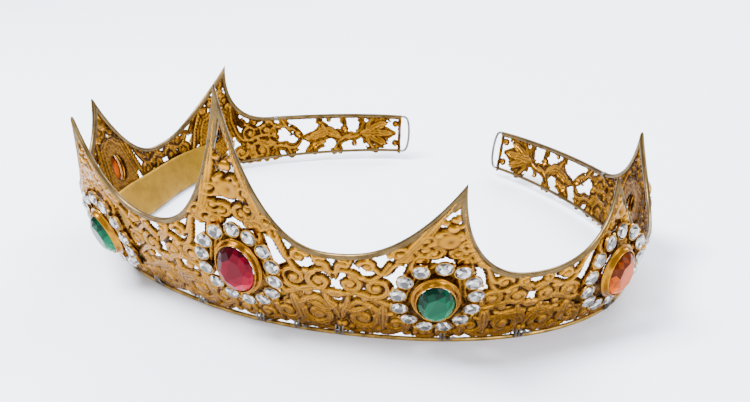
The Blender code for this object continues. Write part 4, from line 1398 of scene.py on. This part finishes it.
def paper(tint):
    """Pale paper: matte, with a fibre too fine to see but for a slight unevenness."""
    material, tree, shader, spot = start_material("matte_pale_paper")
    shade = tuple(one * 0.97 for one in tint)
    sources = {"Base Color": ramp(tree, noise(tree, spot, 40, 3.0), (0.2, shade), (0.8, tint))}
    feed(tree, shader, sources, {"Roughness": 0.9})
    return material


class TIARA_OT_stage(bpy.types.Operator):
    """Lay the floor and set the lights and the camera"""

    bl_idname = "tiara.stage"
    bl_label = "Stage"

    def execute(self, context):
        stage = context.scene.tiara_stage
        bm = bmesh.new()
        bmesh.ops.create_grid(bm, x_segments=1, y_segments=1, size=FLOOR_SIZE)
        bm.verts.ensure_lookup_table()
        mesh = bpy.data.meshes.new("floor")
        bm.to_mesh(mesh)
        bm.free()
        mesh.materials.append(paper(tuple(stage.floor)))
        floor = bpy.data.objects.new("floor", mesh)
        context.scene.collection.objects.link(floor)

        world = bpy.data.worlds.new("studio")
        world.use_nodes = True
        sky = world.node_tree.nodes["Background"]
        sky.inputs["Color"].default_value = (*stage.sky, 1)
        sky.inputs["Strength"].default_value = stage.sky_power
        context.scene.world = world

        for name, spot, size, power in LIGHTS:
            light = bpy.data.lights.new(name, "AREA")
            light.size = size
            light.energy = stage.key_power * power
            light.color = tuple(stage.sky)
            lamp = bpy.data.objects.new(name, light)
            lamp.location = spot
            lamp.rotation_euler = (-Vector(spot)).to_track_quat("-Z", "Y").to_euler()
            context.scene.collection.objects.link(lamp)

        camera = bpy.data.cameras.new("camera")
        camera.lens = stage.lens
        camera.clip_start = 0.01
        eye = bpy.data.objects.new("camera", camera)
        eye.location = CAMERA_AT
        eye.rotation_euler = (Vector(CAMERA_AIM) - Vector(CAMERA_AT)).to_track_quat("-Z", "Y").to_euler()
        context.scene.collection.objects.link(eye)
        context.scene.camera = eye
        return {"FINISHED"}


class TIARA_PT_panel(bpy.types.Panel):
    """The tiara's operators and settings"""

    bl_label = "Tiara"
    bl_idname = "TIARA_PT_panel"
    bl_space_type = "VIEW_3D"
    bl_region_type = "UI"
    bl_category = "Tiara"

    def draw(self, context):
        for group in (context.scene.tiara_sizes, context.scene.tiara_colours, context.scene.tiara_stage):
            for key in group.__annotations__:
                self.layout.prop(group, key)
        for operator in OPERATORS:
            self.layout.operator(operator.bl_idname)


OPERATORS = (
    TIARA_OT_stage,
    TIARA_OT_gallery,
    TIARA_OT_strips,
    TIARA_OT_collets,
    TIARA_OT_stones,
    TIARA_OT_halos,
    TIARA_OT_foot,
)
GROUPS = (TiaraSizes, TiaraColours, TiaraStage)


def register():
    for kind in (*GROUPS, *OPERATORS, TIARA_PT_panel):
        bpy.utils.register_class(kind)
    bpy.types.Scene.tiara_sizes = PointerProperty(type=TiaraSizes)
    bpy.types.Scene.tiara_colours = PointerProperty(type=TiaraColours)
    bpy.types.Scene.tiara_stage = PointerProperty(type=TiaraStage)


def unregister():
    for name in ("tiara_sizes", "tiara_colours", "tiara_stage"):
        delattr(bpy.types.Scene, name)
    for kind in reversed((*GROUPS, *OPERATORS, TIARA_PT_panel)):
        bpy.utils.unregister_class(kind)


def main():
    register()
    bpy.ops.tiara.stage()
    bpy.ops.tiara.gallery()
    bpy.ops.tiara.strips()
    bpy.ops.tiara.collets()
    bpy.ops.tiara.stones()
    bpy.ops.tiara.halos()
    bpy.ops.tiara.foot()


if __name__ == "__main__":
    main()
